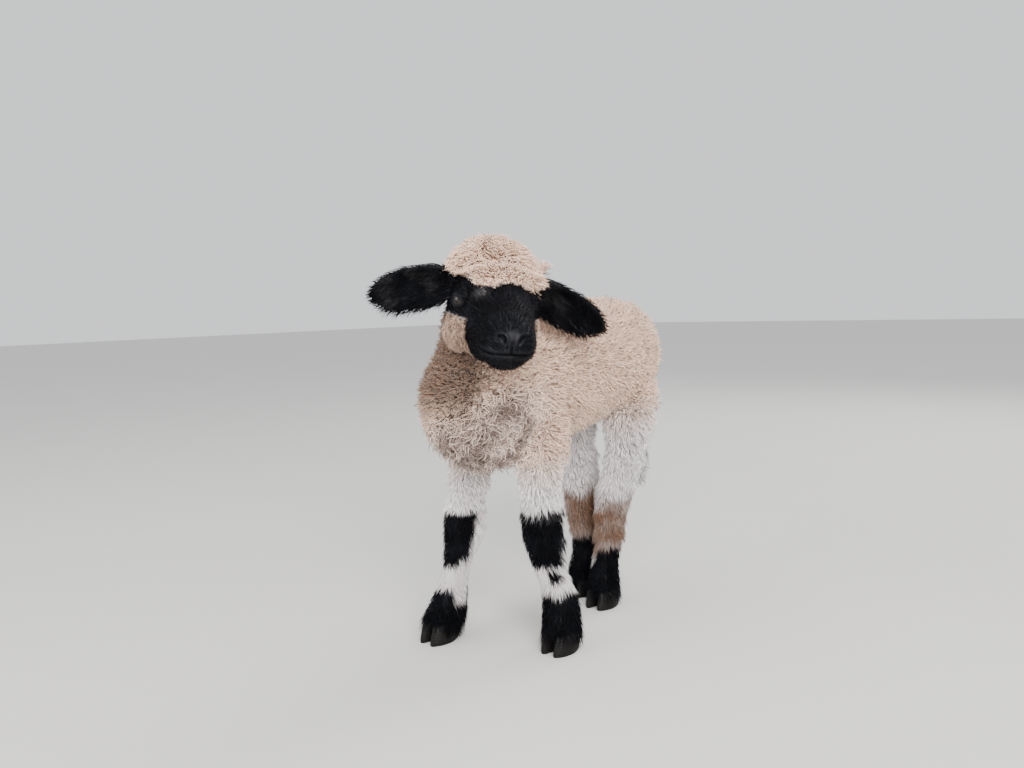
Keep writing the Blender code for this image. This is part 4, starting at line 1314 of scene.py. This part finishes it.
def on_chest(points):
    return in_zone("torso", "neck")(points) & (chest_share(points) + 0.45 * drift(points, 110.0, 31) > 0.5)


def on_flank(points):
    return in_zone("torso", "neck")(points) & ~on_chest(points)


def fluffy_share(points):
    """1 where the legs wear long hair, 0 below, with tufts behind the left knee and the hocks."""
    _, behind, fore, left = about_leg(points)
    z = points[:, 2]
    long = np.where(fore, ramp(z, 0.158, 0.172), ramp(z, 0.082, 0.104))
    knee_tuft = fore * left * ramp(behind, 0.000, 0.008) * ramp(z, 0.098, 0.108) * (1 - ramp(z, 0.130, 0.146))
    strip = fore * ~left * ramp(behind, -0.002, 0.005) * ramp(z, 0.110, 0.125)
    return np.maximum(long, 0.9 * np.maximum(knee_tuft, strip))


def fluffy_leg(points):
    return in_zone("leg")(points) & (fluffy_share(points) > 0.4)


def smooth_leg(points):
    return in_zone("leg")(points) & (fluffy_share(points) <= 0.4) & (leg_black(points) < 0.5)


def dark_leg(points):
    return in_zone("leg")(points) & (fluffy_share(points) <= 0.4) & (leg_black(points) >= 0.5)


def over_hooves(points):
    """1 at the rim of the hooves, 0 above the fetlocks."""
    return 1 - ramp(points[:, 2], 0.028, 0.050)


def thigh_share(points):
    """0 at the knee, 1 where the leg's long hair meets the body's wool."""
    return ramp(points[:, 2], 0.215, 0.262)


def head_wool_rise(points):
    """Short at the edge of the dark face and on the cheeks, full on the crown."""
    above = local(HEAD, points)[:, 2]
    full = 0.0105 + 0.0085 * ramp(above, -0.010, 0.012)
    return 0.0050 + (full - 0.0050) * ramp(-dark_depth(points), 0.0, 0.016)


def head_wool_reach(points):
    """Locks stand up at the crown and at the edge of the dark face, and lean over one another between."""
    from_crown = np.linalg.norm(local(HEAD, points) - np.array(CROWN), axis=1)
    return 0.0035 + 0.0075 * ramp(-dark_depth(points), 0.002, 0.022) * ramp(from_crown, 0.010, 0.040)


def make_coat(skin):
    mesh = skin.data
    # The look of each: roughness, sheen, gloss and the painted shade at the root
    wool = (lock_material("lamb_wool", 0.90, 0.28, 0.15, 0.18), "cream_wool")
    crown = (lock_material("lamb_cap_wool", 0.90, 0.28, 0.15, 0.04), "cream_wool")
    curls = (lock_material("lamb_curls", 0.42, 0.05, 0.50, 0.20), "cream_wool")
    pile = (lock_material("lamb_hair", 0.75, 0.14, 0.20, 0.25), "cream_wool")
    dark = (lock_material("lamb_black_hair", 0.50, 0.0, 0.035, 0.0), "black_coat")
    # The form of each: rise, reach, width, curl, turns, nub, arch
    grow("wool_body", mesh, on_flank, 0.00130, 0.0038, unwrap_body, wool,
         (0.0205, 0.0026, 0.00138, 0.0022, 1.7, 0.08, 1.7), steps=3, spread=1.15, seed=1)
    grow("wool_chest", mesh, on_chest, 0.00150, 0.0060, unwrap_body, curls,
         (0.0200, 0.0145, 0.0014, 0.0048, 1.4, 0.12, 1.7), steps=6, spread=0.85, seed=8)
    grow("wool_cap", mesh, wool_cap, 0.00116, 0.0036, unwrap_head, crown,
         (head_wool_rise, head_wool_reach, 0.00125, 0.0018, 1.2, 0.02, 1.5), steps=4, spread=0.55, seed=2)
    grow("wool_thighs", mesh, in_zone("thigh"), 0.00145, 0.0055, unwrap_legs, pile,
         (between(0.0130, 0.0185, thigh_share), 0.0125, 0.00135, 0.0015, 0.8, 0.10, 1.4), steps=3, spread=0.40, seed=3)
    grow("wool_tail", mesh, in_zone("tail"), 0.00145, 0.0055, unwrap_tail, curls,
         (0.0130, 0.0175, 0.0014, 0.0026, 1.0, 0.12, 1.3), steps=4, spread=0.6, seed=4)
    grow("hair_shanks", mesh, fluffy_leg, 0.00140, 0.0050, unwrap_legs, pile,
         (0.0092, 0.0145, 0.0011, 0.0009, 0.5, 0.08, 1.25), steps=3, spread=0.35, seed=9)
    grow("hair_legs", mesh, smooth_leg, 0.00150, 0.0040, unwrap_legs, pile,
         (0.0066, 0.0100, 0.0010, 0.0006, 0.4, 0.05, 1.1), steps=2, spread=0.35, seed=5)
    grow("hair_feet", mesh, dark_leg, 0.00150, 0.0040, unwrap_legs, dark,
         (between(0.0066, 0.0080, over_hooves), between(0.0095, 0.0215, over_hooves), 0.0010, 0.0006, 0.4, 0.05, 1.1),
         steps=2, spread=0.35, seed=10)
    grow("hair_face", mesh, dark_face, 0.00140, 0.0034, unwrap_head, dark,
         (0.0026, 0.0058, 0.0008, 0.0003, 0.3, 0.0, 1.1), steps=2, spread=0.28, seed=6)
    grow("hair_ears", mesh, in_zone("ear"), 0.00140, 0.0040, unwrap_ears, dark,
         (0.0046, between(0.0080, 0.0140, low_edge), 0.0009, 0.0006, 0.3, 0.0, 1.2), steps=2, spread=0.35, seed=7)


def finish_skin(skin, mat):
    mesh = skin.data
    points = get_points(mesh)
    zones = zones_of(points)
    for key, value in zip(("black", "stain_and_shade", "pale"), marking_values(points, zones)):
        set_attribute(mesh, key, value)
    set_attribute(mesh, "bare", nose_pad(points))
    set_points(mesh, points + np.array(OFFSET))
    mesh.shade_smooth()
    mesh.materials.clear()
    mesh.materials.append(mat)
    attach(skin, "root")
    flesh = ["torso", "neck", "head", "ear_left", "ear_right", "tail"]
    flesh += [f"{part}_{leg}" for leg in LEGS for part in ("upper", "lower")]
    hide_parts(*flesh)


CAMERA_TURN = math.radians(40)
CAMERA_PITCH = math.radians(5.5)
CAMERA_ROLL = math.radians(1.6)
CAMERA_AWAY = 0.94
CAMERA_SIDE = -0.010
CAMERA_HEIGHT = 0.402
CAMERA_LENS = 28.125


def make_camera():
    """The photograph's own view: low, close and a little rolled."""
    up = Vector((0, 0, 1))
    level = Vector((-math.sin(CAMERA_TURN), math.cos(CAMERA_TURN), 0))
    side = Vector((math.cos(CAMERA_TURN), math.sin(CAMERA_TURN), 0))
    place = -CAMERA_AWAY * level - CAMERA_SIDE * side + CAMERA_HEIGHT * up
    ahead = level * math.cos(CAMERA_PITCH) - up * math.sin(CAMERA_PITCH)
    above = up * math.cos(CAMERA_PITCH) + level * math.sin(CAMERA_PITCH)
    right = side * math.cos(CAMERA_ROLL) - above * math.sin(CAMERA_ROLL)
    top = above * math.cos(CAMERA_ROLL) + side * math.sin(CAMERA_ROLL)
    camera = bpy.data.cameras.new("camera")
    camera.sensor_width = 36.0
    camera.lens = CAMERA_LENS
    camera.clip_start = 0.02
    obj = make_object("camera", camera)
    turn = Matrix((right, top, -ahead)).transposed().to_4x4()
    obj.matrix_world = Matrix.Translation(place + OFFSET) @ turn
    bpy.context.scene.camera = obj


def area_light(name, place, target, size, power, colour):
    light = bpy.data.lights.new(name, "AREA")
    light.shape = "DISK"
    light.size = size
    light.energy = power
    light.color = colour
    obj = make_object(name, light)
    obj.location = place
    obj.rotation_euler = (Vector(target) - Vector(place)).to_track_quat("-Z", "Y").to_euler()


def make_studio():
    world = bpy.data.worlds.new("studio")
    world.use_nodes = True
    back = world.node_tree.nodes["Background"]
    back.inputs["Color"].default_value = (0.93, 0.945, 0.97, 1.0)
    back.inputs["Strength"].default_value = 1.1
    bpy.context.scene.world = world
    middle = (0.0, 0.0, 0.25)
    area_light("key", (1.75, -1.55, 1.25), middle, 2.0, 130.0, (1.0, 0.985, 0.965))
    area_light("fill", (-0.9, -2.1, 0.8), middle, 1.6, 26.0, (1.0, 0.98, 0.96))
    area_light("rim", (0.2, 2.2, 1.8), middle, 1.4, 35.0, (1.0, 0.98, 0.95))
    bm = bmesh.new()
    bmesh.ops.create_grid(bm, x_segments=1, y_segments=1, size=14.0)
    mesh = bpy.data.meshes.new("floor")
    bm.to_mesh(mesh)
    bm.free()
    mesh.materials.append(floor_material())
    make_object("floor", mesh)


def main():
    make_camera()
    make_studio()
    skin = make_skin()
    make_coat(skin)
    join_lids(skin)
    finish_skin(skin, skin_material())
    eye = eye_material()
    make_eye(1, "eyeball_left", eye)
    make_eye(-1, "eyeball_right", eye)
    horn = hoof_material()
    for leg in LEGS:
        for place, side in (("inner", -1), ("outer", 1)):
            make_hoof(leg, place, side, horn)


main()
